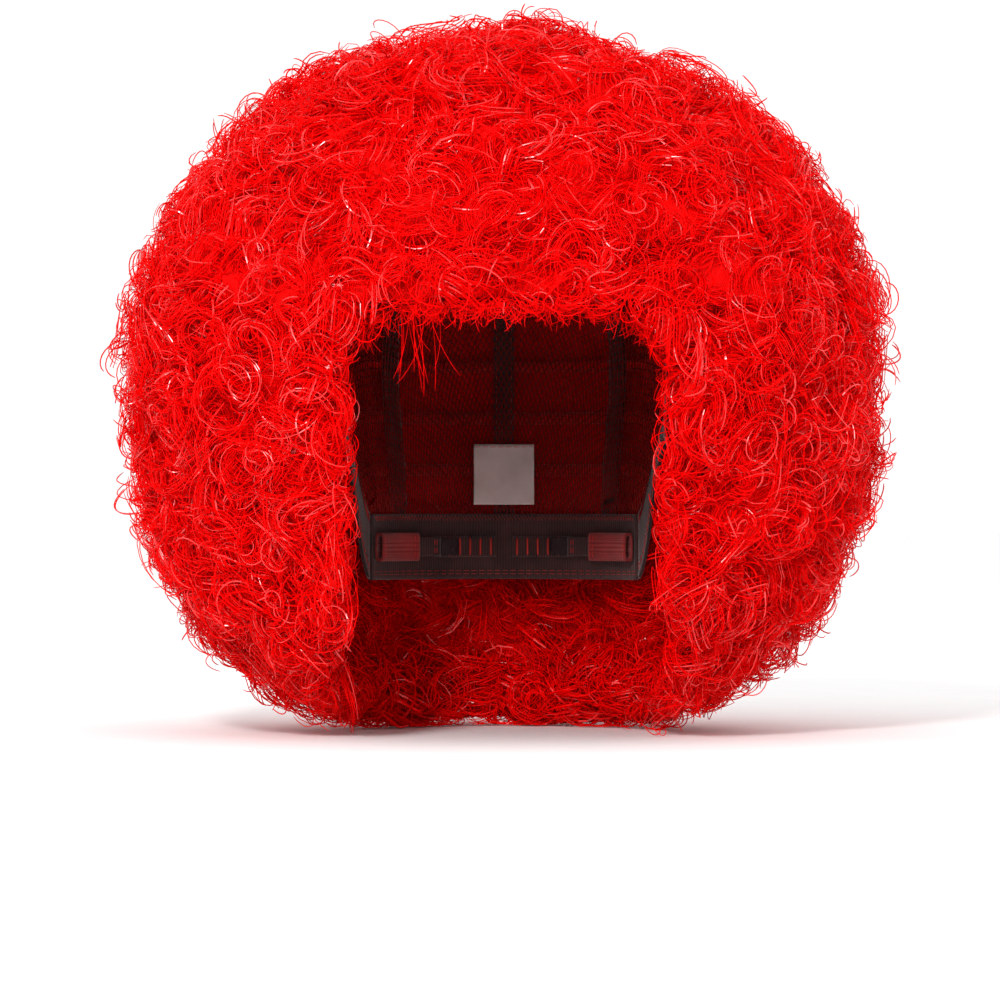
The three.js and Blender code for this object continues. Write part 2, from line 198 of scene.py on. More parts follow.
def face_edge(row_at, edges):
    """The azimuth of the face opening's edge, 0 above the opening."""
    rounding = np.sqrt(smoothstep(row_at, ROWS_ABOVE_FACE, ROWS_ABOVE_FACE + FACE_ROUNDED_OVER))
    drawn_back = smoothstep(row_at, FACE_DRAWN_FROM, ROWS[-1])
    edge = edges[0] + edges[1] * rounding + edges[2] * drawn_back
    return np.where(row_at > ROWS_ABOVE_FACE, edge, 0)


def hair_point(row_at, share, depth, side):
    """A point of the hair: rows from 0 to 6, share from the face to the nape, depth 0 at the cap to 1."""
    cap = np.interp(row_at, ROWS, ROW_ENDS_ON_CAP)
    outside = np.interp(row_at, ROWS, ROW_ENDS_OUTSIDE)
    inner = hollow(cap, side * lerp(face_edge(row_at, FACE_EDGE_ON_CAP), 180, share), HAIR_CLEARANCE)
    outer = envelope(outside, side * lerp(face_edge(row_at, FACE_EDGE_OUTSIDE), 180, share))
    return lerp(inner, outer, np.asarray(depth)[..., None])


def waves(seed, scale, octaves=3):
    """A smooth random field: callable on (..., 3) points, about -1 to 1."""
    own = np.random.default_rng(seed)
    terms = []
    for octave in range(octaves):
        for _ in range(WAVES_IN_OCTAVE):
            k = unit(own.normal(size=3)) * TAU / (scale * OCTAVE_SCALE**octave)
            terms.append((k, own.uniform(0, TAU), OCTAVE_WEIGHT**octave))

    def at(p):
        return sum(weight * np.sin(p @ k + phase) for k, phase, weight in terms) / WAVE_RANGE

    return at


lumps = waves(7, LUMP_SCALE)
swirl_field = [waves(20 + i, SWIRL_SCALE, 2) for i in range(3)]
shade_field = waves(31, SHADE_SCALE, 2)

# ---------------------------------------------------------------- mesh building

TUBE_END = 0.55  # a tube's end, as a share of its radius
UPRIGHT = 0.8  # how much of a tube's direction is upright when it is taken as going up
PACKED_SLOT = 1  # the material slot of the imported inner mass
FLAT_SIDED_SLOT = 2  # of the glossy fibres, whose flat sides give glints, and of the wefts' threads


def add_object(name, data):
    made = bpy.data.objects.new(name, data)
    bpy.context.scene.collection.objects.link(made)
    return made


class Build:
    """Gathers the faces of one piece, with their materials and texture places, and its vertices' shades."""

    def __init__(self):
        self.verts, self.shades, self.count = [], [], 0
        self.faces, self.mats, self.uvs = ({4: [], 3: []} for _ in range(3))

    def add(self, verts, face_sets, mat=0, shade=0.5):
        """Adds vertices, and sets of faces, each with the texture places of its faces' corners."""
        verts = verts.reshape(-1, 3)
        self.verts.append(verts)
        self.shades.append(np.broadcast_to(shade, len(verts)))
        for faces, uv in face_sets:
            corners = faces.shape[1]
            self.faces[corners].append(faces + self.count)
            self.mats[corners].append(np.full(len(faces), mat))
            self.uvs[corners].append(uv.reshape(-1, 2))
        self.count += len(verts)

    def object(self, name, materials, uv_name):
        quads, tris = (np.concatenate([np.zeros((0, n), int), *self.faces[n]]) for n in (4, 3))
        mats = np.concatenate(self.mats[4] + self.mats[3])
        sizes = np.repeat([4, 3], [len(quads), len(tris)])
        starts = np.cumsum(sizes) - sizes
        loops = np.concatenate([quads.ravel(), tris.ravel()])
        mesh = bpy.data.meshes.new(name)
        mesh.vertices.add(self.count)
        mesh.vertices.foreach_set("co", np.concatenate(self.verts).astype(np.float32).ravel())
        mesh.loops.add(len(loops))
        mesh.loops.foreach_set("vertex_index", loops.astype(np.int32))
        mesh.polygons.add(len(sizes))
        mesh.polygons.foreach_set("loop_start", starts.astype(np.int32))
        mesh.polygons.foreach_set("material_index", mats.astype(np.int32))
        mesh.polygons.foreach_set("use_smooth", mats != FLAT_SIDED_SLOT)
        layer = mesh.uv_layers.new(name=uv_name)
        layer.data.foreach_set("uv", np.concatenate(self.uvs[4] + self.uvs[3]).astype(np.float32).ravel())
        shades = mesh.attributes.new("shade", "FLOAT", "POINT")
        shades.data.foreach_set("value", np.concatenate(self.shades).astype(np.float32))
        mesh.update(calc_edges=True)
        mesh.validate()
        for material in materials:
            mesh.materials.append(material)
        return add_object(name, mesh)


def tubes(build, paths, radius, sides=3, reference=None, mat=0, shade=0.5):
    """Adds a closed tube along each path of points. A reference is a way that its path never takes."""
    n = len(paths)
    if not n:
        return
    lengths = np.array([len(path) for path in paths])
    p = np.concatenate(paths)
    ids = np.repeat(np.arange(n), lengths)
    last = np.cumsum(lengths) - 1
    first = last - lengths + 1
    ahead, behind = np.roll(p, -1, axis=0), np.roll(p, 1, axis=0)
    ahead[last], behind[first] = p[last], p[first]
    along = unit(ahead - behind)
    if reference is None:
        chord = unit(p[last] - p[first] + 1e-9)
        reference = np.where(np.abs(chord[:, 2:]) > UPRIGHT, [[1.0, 0, 0]], [[0, 0, 1.0]])
    side_a = unit(np.cross(along, reference[ids]))
    side_b = np.cross(along, side_a)
    size = np.broadcast_to(radius, n)[ids].copy()
    size[first] *= TUBE_END
    size[last] *= TUBE_END
    angle = TAU * np.arange(sides) / sides
    ring = p[:, None]
    for share, way in ((np.cos(angle), side_a), (np.sin(angle), side_b)):
        ring = ring + size[:, None, None] * share[:, None] * way[:, None]
    run = np.flatnonzero(ids[:-1] == ids[1:])
    k = np.arange(sides)
    after = (k + 1) % sides
    a = run[:, None] * sides
    quads = np.stack([a + k, a + after, a + sides + after, a + sides + k], axis=-1).reshape(-1, 4)
    caps = np.concatenate([first[:, None] * sides + k[::-1], last[:, None] * sides + k])
    position = (np.arange(len(p)) - first[ids]) / np.maximum(lengths[ids] - 1, 1)
    place = np.stack([position, (ids + 0.5) / n], axis=-1)
    low, high = place[run], place[run + 1]
    quad_uv = np.repeat(np.stack([low, low, high, high], axis=1), sides, axis=0)
    cap_uv = np.repeat(place[np.r_[first, last]], sides, axis=0)
    shades = np.repeat(np.broadcast_to(shade, n)[ids], sides)
    build.add(ring, [(quads, quad_uv), (caps, cap_uv)], mat, shades)


def facing_out(verts, faces):
    """The same faces of a closed mesh, turned so that they face outward."""
    a, b, c, d = (verts[faces[:, i]] for i in range(4))
    volume = np.einsum("ij,ij->i", a, np.cross(b, c)) + np.einsum("ij,ij->i", a, np.cross(c, d))
    return faces if volume.sum() > 0 else faces[:, ::-1]


def add_body(build, over, under, flat, mat=0, shade=0.5):
    """Adds the closed body between two grids of points, with each point's texture place."""
    rows, columns = over.shape[:2]
    count = rows * columns
    index = np.arange(count).reshape(rows, columns)
    a, b, c, d = index[:-1, :-1], index[:-1, 1:], index[1:, 1:], index[1:, :-1]
    top = np.stack([a, b, c, d], axis=-1).reshape(-1, 4)
    rims = [
        np.stack([edge[:-1], edge[1:], edge[1:] + count, edge[:-1] + count], axis=-1)
        for edge in (index[0, ::-1], index[-1], index[:, 0], index[::-1, -1])
    ]
    verts = np.concatenate([over.reshape(-1, 3), under.reshape(-1, 3)])
    faces = np.concatenate([top, top[:, ::-1] + count, *rims])
    faces = facing_out(verts - verts.mean(axis=0), faces)
    flat = np.tile(flat.reshape(-1, 2), (2, 1))
    build.add(verts, [(faces, flat[faces])], mat, shade)


def add_cloth(build, middle, thickness):
    """Adds a closed thin sheet about a grid of points of its middle surface, and returns its flat size."""
    rows, columns = middle.shape[:2]
    normal = unit(np.cross(np.gradient(middle, axis=1), np.gradient(middle, axis=0)))
    half = normal * np.broadcast_to(thickness, (rows, columns))[..., None] / 2
    size = (steps_along(middle[rows // 2]).sum(), steps_along(middle[:, columns // 2]).sum())
    u, v = grid(rows, columns)
    add_body(build, middle + half, middle - half, np.stack([u * size[0], v * size[1]], axis=-1))
    return size


# ---------------------------------------------------------------- materials


class Recipe:
    """A material being put together. Each step returns the output that a later step takes."""

    def __init__(self, name):
        self.material = bpy.data.materials.new(name)
        self.material.use_nodes = True
        self.tree = self.material.node_tree

    def feed(self, node, inputs):
        """Links the inputs that are given as another step's output, and sets the others."""
        for name, value in inputs.items():
            if isinstance(value, bpy.types.NodeSocket):
                self.tree.links.new(value, node.inputs[name])
            else:
                node.inputs[name].default_value = value

    def step(self, kind, output, inputs, **settings):
        node = self.tree.nodes.new(f"ShaderNode{kind}")
        for name, value in settings.items():
            setattr(node, name, value)
        self.feed(node, inputs)
        return node.outputs[output]

    def math(self, operation, *values):
        return self.step("Math", 0, dict(enumerate(values)), operation=operation)

    def own_shade(self):
        return self.step("Attribute", "Fac", {}, attribute_name="shade")

    def place(self):
        return self.step("TexCoord", "Object", {})

    def noise(self, scale, detail=2):
        return self.step("TexNoise", "Fac", {"Vector": self.place(), "Scale": scale, "Detail": detail})

    def ramp(self, factor, *stops):
        colour = self.step("ValToRGB", "Color", {"Fac": factor})
        elements = colour.node.color_ramp.elements
        while len(elements) < len(stops):
            elements.new(0.5)
        for element, (place, color) in zip(elements, stops):
            element.position = place
            element.color = (*color, 1)
        return colour

    def bump(self, height, strength, distance):
        return self.step("Bump", "Normal", {"Height": height, "Strength": strength, "Distance": distance})

    def finish(self, inputs):
        self.feed(self.tree.nodes["Principled BSDF"], inputs)
        return self.material

    def finish_fibre(self, factor, tones, roughness, specular):
        """Ends a fibre's material: its dark, middle and bright tones follow the factor."""
        colour = self.ramp(factor, *zip((0.0, 0.5, 1.0), tones))
        inputs = {"Base Color": colour, "Roughness": roughness, "Specular IOR Level": specular}
        return self.finish(inputs)


FIBRE_DRIFT = 0.7  # how much of a fibre's tone is the slow drift
FIBRE_TONE_SHIFT = 0.35
SWIRLS = {"Scale": 330, "Distortion": 45, "Detail": 2, "Detail Scale": 0.28}
SWIRL_TONE = 0.75
PACKED_TONE = 0.4
WEAVE_TONE = 0.6
DYE_STOPS = (0.35, 1.0)
SHEEN_ROUGHNESS = 0.5
WEAVE_BUMP = (0.6, 0.0003)  # strength, and height in metres
GRAIN_BUMP = (0.25, 0.0001)
RUBBED = (2.2, 0.01)  # how many times brighter, and how much more


def hair_material(name, tones, roughness, specular, refraction=1.36):
    """Fibre colour: each fibre has its own shade, and it drifts slowly along and across the hair."""
    made = Recipe(name)
    mixed = made.math("MULTIPLY_ADD", made.noise(scale=38, detail=3), FIBRE_DRIFT, made.own_shade())
    made.feed(made.tree.nodes["Principled BSDF"], {"IOR": refraction})
    return made.finish_fibre(made.math("SUBTRACT", mixed, FIBRE_TONE_SHIFT), tones, roughness, specular)


def packed_material(name, tones, roughness, specular):
    """Hair packed so close that it reads as a surface: fine strands that swirl, with painted shade between
    them.
    """
    made = Recipe(name)
    strands = made.step("TexWave", "Fac", {"Vector": made.place(), **SWIRLS})
    own_tone = made.math("MULTIPLY", made.own_shade(), PACKED_TONE)
    mixed = made.math("MULTIPLY_ADD", strands, SWIRL_TONE, own_tone)
    return made.finish_fibre(mixed, tones, roughness, specular)


def cloth_material(name, tones, thread, roughness, sheen=0.3, ribs=None):
    """A woven cloth: two crossing sets of threads in the cloth's own coordinates, with uneven dye."""
    made = Recipe(name)
    cloth = made.step("UVMap", "UV", {}, uv_map="cloth")
    parts = made.step("SeparateXYZ", "X", {0: cloth}).node.outputs
    crossing = [
        made.math("ABSOLUTE", made.math("SINE", made.math("MULTIPLY", parts[axis], math.pi / pitch)))
        for axis, pitch in (("X", ribs or thread), ("Y", thread))
    ]
    weave = made.math("MULTIPLY", *crossing)
    dyed = made.math("MULTIPLY_ADD", weave, WEAVE_TONE, made.noise(scale=90, detail=4))
    return made.finish(
        {
            "Base Color": made.ramp(dyed, *zip(DYE_STOPS, tones)),
            "Normal": made.bump(weave, *WEAVE_BUMP),
            "Roughness": roughness,
            "Sheen Weight": sheen,
            "Sheen Roughness": SHEEN_ROUGHNESS,
        }
    )


def moulded_material(name, color, roughness):
    """Moulded plastic with a fine orange-peel surface and slightly rubbed patches."""
    made = Recipe(name)
    grain = made.noise(scale=900)
    rubbed = tuple(RUBBED[0] * c + RUBBED[1] for c in color)
    return made.finish(
        {
            "Base Color": made.ramp(grain, (0.3, color), (0.8, rubbed)),
            "Normal": made.bump(grain, *GRAIN_BUMP),
            "Roughness": roughness,
        }
    )


def floor_material():
    """Matt paper, nearly white, with a faint grain."""
    made = Recipe("floor_paper")
    tones = made.ramp(made.noise(scale=40), (0.3, (0.95, 0.95, 0.95)), (0.7, (0.97, 0.97, 0.97)))
    return made.finish({"Base Color": tones, "Roughness": 0.95, "Specular IOR Level": 0.1})


FIBRE_TONES = (0.80, 0, 0), (0.96, 0, 0), (1.0, 0.0015, 0.001)  # dark, middle and bright
GLOSSY_TONES = (0.84, 0, 0), (0.97, 0, 0), (1.0, 0.002, 0.001)
# the inner mass's tones are darker than the fibres': a painted shade for its place deep under the curls
SHADED_DEPTH_TONES = (0.42, 0, 0), (0.74, 0, 0), (0.97, 0.001, 0.0005)
NET_TONES = (0.10, 0.004, 0.004), (0.24, 0.012, 0.010), (0.42, 0.03, 0.026)
THREAD_TONES = (0.40, 0.02, 0.02), (0.60, 0.05, 0.04), (0.80, 0.12, 0.10)

ELASTIC_TONES = (0.012, 0.006, 0.006), (0.075, 0.03, 0.028)  # of a cloth: dark and light
LINING_TONES = (0.16, 0.008, 0.008), (0.40, 0.03, 0.026)
STITCHED_TONES = (0.30, 0.004, 0.004), (0.62, 0.02, 0.014)
SATIN_TONES = (0.62, 0.60, 0.56), (0.90, 0.88, 0.84)
HOOK_COLOR = (0.012, 0.012, 0.014)

FIBRE = hair_material("hair_fibre", FIBRE_TONES, roughness=0.35, specular=0.14)
GLOSSY = hair_material("hair_glossy", GLOSSY_TONES, roughness=0.28, specular=1.0, refraction=1.5)
DEPTH = packed_material("hair_depth_shaded", SHADED_DEPTH_TONES, roughness=0.7, specular=0.1)
NET = hair_material("cap_net", NET_TONES, roughness=0.6, specular=0.3)
ELASTIC = cloth_material("elastic", ELASTIC_TONES, thread=0.0005, roughness=0.8, sheen=0.4, ribs=0.0012)
LINING = cloth_material("lining_cloth", LINING_TONES, thread=0.0006, roughness=0.75)
STITCHED = cloth_material("weft_stitching", STITCHED_TONES, thread=0.0007, roughness=0.6)
THREAD = hair_material("sewing_thread", THREAD_TONES, roughness=0.5, specular=0.4)
HOOK = moulded_material("hook_plastic", HOOK_COLOR, roughness=0.3)
SATIN = cloth_material("label_satin", SATIN_TONES, thread=0.00035, roughness=0.38, sheen=0.2)

MATERIALS = {
    "hair_fibre": [FIBRE, DEPTH, GLOSSY],
    "cap_net": [NET],
    "elastic": [ELASTIC, THREAD],
    "lining_cloth": [LINING, THREAD],
    "weft_stitching": [STITCHED, FIBRE, THREAD],
    "label_satin": [SATIN, THREAD],
}


def make_piece(build, name, node, slot, body="cap", uv_name="cloth"):
    """Makes the piece that rides on its body in place of its CAD node."""
    piece = build.object(name, MATERIALS[slot], uv_name)
    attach(piece, body)
    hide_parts(node)
    return piece


# ---------------------------------------------------------------- the hair

FIBRE_RADIUS = 0.00021
CURL_DEPTH = 0.019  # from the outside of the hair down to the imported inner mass
LOWER_CORNER_TRIM = 0.022  # how much narrower the hair is at its lower corners than its CAD solids
GLOSS_SHARE = 0.20  # the share of fibres that shine
GLOSS_STEPS = 97  # spreads the shine over fibres of every shade
FREE_REACH = 0.0075  # how far the outermost curls may stand beyond the CAD solids
SWELL = 0.0035  # how far the hair's soft lumps move its curls in and out
SWIRL = 0.0022  # how far a fibre strays from its coil
STRAY = 0.14  # how much a fibre's size strays from its clump's
START_STRAY = 0.30  # how far, in radians, its start does
TURNS_SHARE = (0.7, 1.12)  # of the clump's turns that it makes
UNEVEN = (0.2, 1.0)  # of its kind's spiral, and of its kind's way into the hollow
TRIMMED_FROM = (0.7, 0.95)  # hair nearer the middle than this isn't trimmed
EDGE_MARGIN = 0.004  # below the cap's edge, where its layers still count
FEWEST_CLUMPS = 40
LUMP_REACH = 0.004  # how much further a fibre may stand out on a lump
REACH_STRAY = (-0.003, 0.0025)
CLUMP_SHADE = 0.12  # how much the shade varies from clump to clump
FIBRE_SHADE = 0.10
PATCH_SHADE = 0.10

OPENING_HALF_WIDTH = 0.061
OPENING_TOP = -0.072
OPENING_CORNER = 0.026
OPENING_BACK = -0.005
FRINGE_HALF_WIDTH = OPENING_HALF_WIDTH - 0.004
CAP_LAYERS = 0.0065  # the thickness of the cap's cloth, ribbons and wefts together
CAP_TOUCH = 0.002  # how far a fibre may press into them

OUTSIDE_TRIES = 90000  # random places, of which the clumps' own are picked
POOL_SHARE = 6  # how many of them are weighed up for each that is used
CELL_SHARE = 1.5  # a surface crosses about this many cubes for each square of its area
PROBE_ANGLE = 0.25  # degrees to each side of a place, in measuring the surface there
PROBE_STEP = 0.02  # the same in rows, and in shares of the hair's thickness
INNER_CURLS_DEPTH = 0.12  # share of the hair's thickness
OPENING_SIDE_FORWARD = 0.35  # how far the faces beside the face look forward
OPENING_TOP_ROW = ROWS_ABOVE_FACE - 0.02
OPENING_TOP_DEPTH = 0.1
OPENING_TOP_SPAN = (48, 17)  # degrees to each side of the middle, at the cap and outside
OPENING_TOP_WAY = (0, -0.5, -1.0)
BOTTOM_ROW = 5.99
NECK_ROW = 4.75
NECK_SHARE = 0.12
OPENING_TOP_AREA = 0.00495  # square metres of the surfaces that aren't measured
BOTTOM_AREA = 0.022
NECK_AREA = 0.024

CROWN_GRID = (49, 9)  # columns and rows of the inner mass
LOCK_GRID = (25, 13)
ROW_OVERLAP = 0.06  # of one row's inner mass with the next
EDGE_GAP = 0.001
LOWEST_MASS = 5.93  # how far down the rows the inner mass goes
LEAST_MASS = 0.3  # share of the hair's thickness
MASS_UNDERSIDE = (0.05, 0.36)  # shares of the thickness, over the cap and behind the neck
MASS_HOLLOWS = (4.6, 5.2)  # rows between which one becomes the other
MASS_LUMPS = (0.004, 0.0015)
FINE_LUMPS = 3.1  # how much finer the smaller lumps are
# the inner mass's tone, and how much it follows the lumps that push it out: lighter on them, darker in the
# dips between, a painted shade
MASS_SHADE = (0.4, 0.3)
FACE_DRAW = (0.007, 0.004)  # how far the mass draws back from the face, sideways and backward
FACE_LIFT = 0.009  # and up, at the bottom
FACE_DRAW_FADE = 9
UNDERSIDE_DRAW = (0.4, 0.4, 1)  # of the same, on the underside

LOOSE_ENDS = 520
FEWEST_LOOSE_ENDS = 8
WISP_FIBRES = 14
WISP_PLACE = -0.037
WISP_SPREAD = 0.0045
LOOSE_END = {"length": (0.004, 0.010), "lean": (0, 0.35), "bend": (0, 1.4)}
WISP = {"length": (0.020, 0.034), "lean": (0.10, 0.09), "bend": (0, 0.35)}
FRINGE_STEPS = 9
FRINGE_RADIUS = 0.8 * FIBRE_RADIUS
FRINGE_SHADE = (0.6, 0.12)
FRINGE_FRONT = 0.112
FRINGE_CURVE = 8.0  # per metre: how fast the fringe falls back to the sides
FRINGE_ROOTS_BACK = (-0.002, 0.012)
FRINGE_ROOTS_UP = (0.001, 0.006)
FRINGE_FORWARD = (-0.001, 0.003)

# below: how deep the clumps lie under the surface. size, turns, pitch: of the coil. spread: how far a clump's
# fibres lie apart. tilt: 1 when the coil's axis points outward, 0 when it points anywhere. spiral: how much
# the coil closes up. reach: how far a fibre may stand out of the hair. into: how far into the hollow.
KINDS = {
    # the deep fibres' low shade makes them darker, a painted shade for their place deep in the hair
    "deep": Kind(
        seed=101, clumps=2000, fibres=7, steps=13, below=(0.013, 0.022), size=(0.006, 0.011),
        turns=(0.7, 1.3), pitch=(0.004, 0.012), spread=0.0026, tilt=0.45, spiral=0.5,
        radius=0.00040, shade=0.40, reach=-0.010, into=0.001,
    ),
    "ringlet": Kind(
        seed=102, clumps=2700, fibres=8, steps=17, below=(0.0050, 0.0155), size=(0.0050, 0.0115),
        turns=(0.9, 1.6), pitch=(0.002, 0.008), spread=0.0011, tilt=0.66, spiral=0.8,
        radius=FIBRE_RADIUS, shade=0.55, reach=-0.0045, into=0.0035,
    ),
    "arc": Kind(
        seed=103, clumps=1250, fibres=6, steps=13, below=(0.0035, 0.0130), size=(0.008, 0.016),
        turns=(0.35, 0.75), pitch=(0.003, 0.010), spread=0.0017, tilt=0.42, spiral=0.3,
        radius=FIBRE_RADIUS, shade=0.62, reach=-0.0035, into=0.005,
    ),
    "frizz": Kind(
        seed=104, clumps=1700, fibres=2, steps=13, below=(0.0, 0.008), size=(0.0035, 0.0105),
        turns=(0.35, 0.95), pitch=(0.004, 0.014), spread=0.0011, tilt=0.15, spiral=0.5,
        radius=1.3 * FIBRE_RADIUS, shade=0.4, reach=0.0005, into=0.006,
    ),
}


def about_centre(p):
    """A point's place about the hair's centre, and the hair's height and squareness on its side of it."""
    x, y, z = p[..., 0], p[..., 1] - HAIR_SET_BACK, p[..., 2] - HAIR_WIDEST_LEVEL
    height = np.where(z < 0, HAIR_WIDEST_LEVEL - HAIR_BOTTOM, HAIR_TOP - HAIR_WIDEST_LEVEL)
    return x, y, z, height, np.where(z < 0, HAIR_SQUARENESS, 2.0)


def inside_envelope(p):
    """1 on the outside of the hair, less inside it."""
    x, y, z, height, power = about_centre(p)
    plan = np.hypot(x / HAIR_HALF_WIDTH, y / HAIR_HALF_DEPTH)
    return (plan**power + (np.abs(z) / height) ** power) ** (1 / power)


def outward(p):
    """The direction straight out of the hair at a point."""
    x, y, z, height, _ = about_centre(p)
    return unit(points(x / HAIR_HALF_WIDTH**2, y / HAIR_HALF_DEPTH**2, z / height**2))


def void_depths(p):
    """How deep a point lies in the space of the head and neck, and of the face, in metres."""
    x, y, z = np.abs(p[..., 0]), p[..., 1], p[..., 2]
    width, depth = wall_section(z)
    depth = np.where(y < 0, HEAD_HALF_DEPTH, depth)
    rise = np.maximum(z + CROWN_HEIGHT, 0) / CROWN_HEIGHT
    head = (1 - np.sqrt((x / width) ** 2 + (y / depth) ** 2 + rise**2)) * HEAD_HALF_WIDTH
    side = x - (OPENING_HALF_WIDTH - OPENING_CORNER)
    up = z - (OPENING_TOP - OPENING_CORNER)
    corner = np.hypot(np.maximum(side, 0), np.maximum(up, 0)) + np.minimum(np.maximum(side, up), 0)
    face = OPENING_CORNER - corner
    return head, np.where(y < OPENING_BACK, face, face - (y - OPENING_BACK))


def evenly(place, wanted, area):
    """Which places to use so that they lie evenly: one from each small cell before a second from any."""
    cell = math.sqrt(CELL_SHARE * area / wanted)
    _, owner = np.unique(np.floor(place / cell).astype(int), axis=0, return_inverse=True)
    owner = owner.ravel()
    by_cell = np.argsort(owner, kind="stable")
    rank = np.empty(len(place), int)
    rank[by_cell] = np.arange(len(place)) - np.searchsorted(owner[by_cell], owner[by_cell])
    return np.argsort(rank, kind="stable")[:wanted]


def area_between(span_a, span_b):
    return np.linalg.norm(np.cross(span_a, span_b), axis=-1)


def outside_places(count, own):
    """Random places on the outside of the hair, the way out at each, and the area that each stands for."""
    polar = own.uniform(0, ROW_ENDS_OUTSIDE[-1], count)
    azimuth = own.uniform(-180, 180, count)
    e = PROBE_ANGLE
    span_a = (envelope(polar + e, azimuth) - envelope(np.maximum(polar - e, 0), azimuth)) / (2 * e)
    span_b = (envelope(polar, azimuth + e) - envelope(polar, azimuth - e)) / (2 * e)
    edge = face_edge(np.interp(polar, ROW_ENDS_OUTSIDE, ROWS), FACE_EDGE_OUTSIDE)
    area = np.where(np.abs(azimuth) < edge, 0, area_between(span_a, span_b))
    place = envelope(polar, azimuth)
    return place, outward(place), area / count * 360 * ROW_ENDS_OUTSIDE[-1]


def opening_side_places(count, own):
    """The same on the hair's two faces beside the face."""
    row = own.uniform(ROWS_ABOVE_FACE, ROWS[-1], count)
    depth = own.uniform(INNER_CURLS_DEPTH, 1, count)
    side = own.choice([-1.0, 1.0], count)
    place = hair_point(row, 0 * row, depth, side)
    span_a = (hair_point(row + PROBE_STEP, 0 * row, depth, side) - place) / PROBE_STEP
    span_b = (hair_point(row, 0 * row, depth + PROBE_STEP, side) - place) / PROBE_STEP
    inward = unit(points(-side, -OPENING_SIDE_FORWARD, 0.0))
    spans = 2 * (ROWS[-1] - ROWS_ABOVE_FACE) * (1 - INNER_CURLS_DEPTH)
    return place, inward, area_between(span_a, span_b) / count * spans


def opening_top_places(count, own):
    """The same under the hair over the forehead."""
    across_face = own.uniform(-1, 1, count)
    depth = own.uniform(OPENING_TOP_DEPTH, 1, count)
    share = np.abs(across_face) * lerp(*OPENING_TOP_SPAN, depth) / 180
    place = hair_point(np.full(count, OPENING_TOP_ROW), share, depth, np.sign(across_face))
    down = np.tile(unit(np.array(OPENING_TOP_WAY)), (count, 1))
    return place, down, np.full(count, OPENING_TOP_AREA) / count


def bottom_places(count, own):
    """The same under the bottom of the hair."""
    share = own.uniform(0, 1, count)
    depth = own.uniform(0, 1, count)
    side = own.choice([-1.0, 1.0], count)
    place = hair_point(np.full(count, BOTTOM_ROW), share, depth, side)
    return place, np.tile([0, 0, -1.0], (count, 1)), np.full(count, BOTTOM_AREA) / count


def neck_places(count, own):
    """The same on the inside of the hair that hangs below the cap, behind the neck."""
    row = own.uniform(NECK_ROW, ROWS[-1], count)
    share = own.uniform(NECK_SHARE, 1, count)
    side = own.choice([-1.0, 1.0], count)
    place = hair_point(row, share, INNER_CURLS_DEPTH, side)
    return place, -outward(place), np.full(count, NECK_AREA) / count


def sample_surfaces(total, own):
    """Places on every surface of the hair that shows, spread evenly by area, with the way out at each."""
    sets = [outside_places(OUTSIDE_TRIES, own)]
    for places in (opening_side_places, opening_top_places, bottom_places, neck_places):
        sets.append(places(OUTSIDE_TRIES // 4, own))
    place, way, weight = (np.concatenate(parts) for parts in zip(*sets))
    pool = own.choice(len(place), POOL_SHARE * total, replace=False, p=weight / weight.sum())
    chosen = pool[evenly(place[pool], total, weight.sum())]
    return place[chosen], way[chosen]


def coils(kind, place, way, own):
    """Clumps of fibres that share a coil: their paths, and the way of each coil's axis."""
    n = len(place)
    total = n * kind.fibres

    def each(values):
        return np.repeat(values, kind.fibres, axis=0)

    axis = unit(way * kind.tilt + own.normal(size=(n, 3)) * (1 - kind.tilt))
    arm_a = unit(np.cross(axis, own.normal(size=axis.shape)))
    arm_b = np.cross(axis, arm_a)
    size = own.uniform(*kind.size, n)
    turns = own.uniform(*kind.turns, n)
    pitch = own.uniform(*kind.pitch, n) * own.choice([-1, 1], n)
    spin = own.choice([-1, 1], n)
    phase = own.uniform(0, TAU, n)
    radius = each(size) * np.exp(own.normal(0, STRAY, total))
    centre = each(place) + own.normal(0, kind.spread, (total, 3))
    centre += each(axis) * own.normal(0, kind.spread, (total, 1))
    start = each(phase) + own.normal(0, START_STRAY, total)
    turned = each(turns) * own.uniform(*TURNS_SHARE, total)
    t = np.linspace(0, 1, kind.steps)[None]
    angle = start[:, None] + each(spin)[:, None] * TAU * turned[:, None] * t
    arm = radius[:, None] * (1 + kind.spiral * (0.5 - t) * own.uniform(*UNEVEN, (total, 1)))
    climb = each(pitch)[:, None] * turned[:, None] * (t - 0.5)
    path = (
        centre[:, None]
        + each(arm_a)[:, None] * (arm * np.cos(angle))[..., None]
        + each(arm_b)[:, None] * (arm * np.sin(angle))[..., None]
        + each(axis)[:, None] * climb[..., None]
    )
    path = path + np.stack([field(path) for field in swirl_field], axis=-1) * SWIRL
    return path, each(axis)


def corner_share(p):
    """1 for hair halfway round from the widest level to the bottom, 0 at either."""
    x, y, z, _, _ = about_centre(p)
    plan = np.hypot(x / HAIR_HALF_WIDTH, y / HAIR_HALF_DEPTH)
    drop = np.maximum(-z, 0) / (HAIR_WIDEST_LEVEL - HAIR_BOTTOM)
    return (2 * plan * drop / np.maximum(plan**2 + drop**2, 1e-9)) ** 2


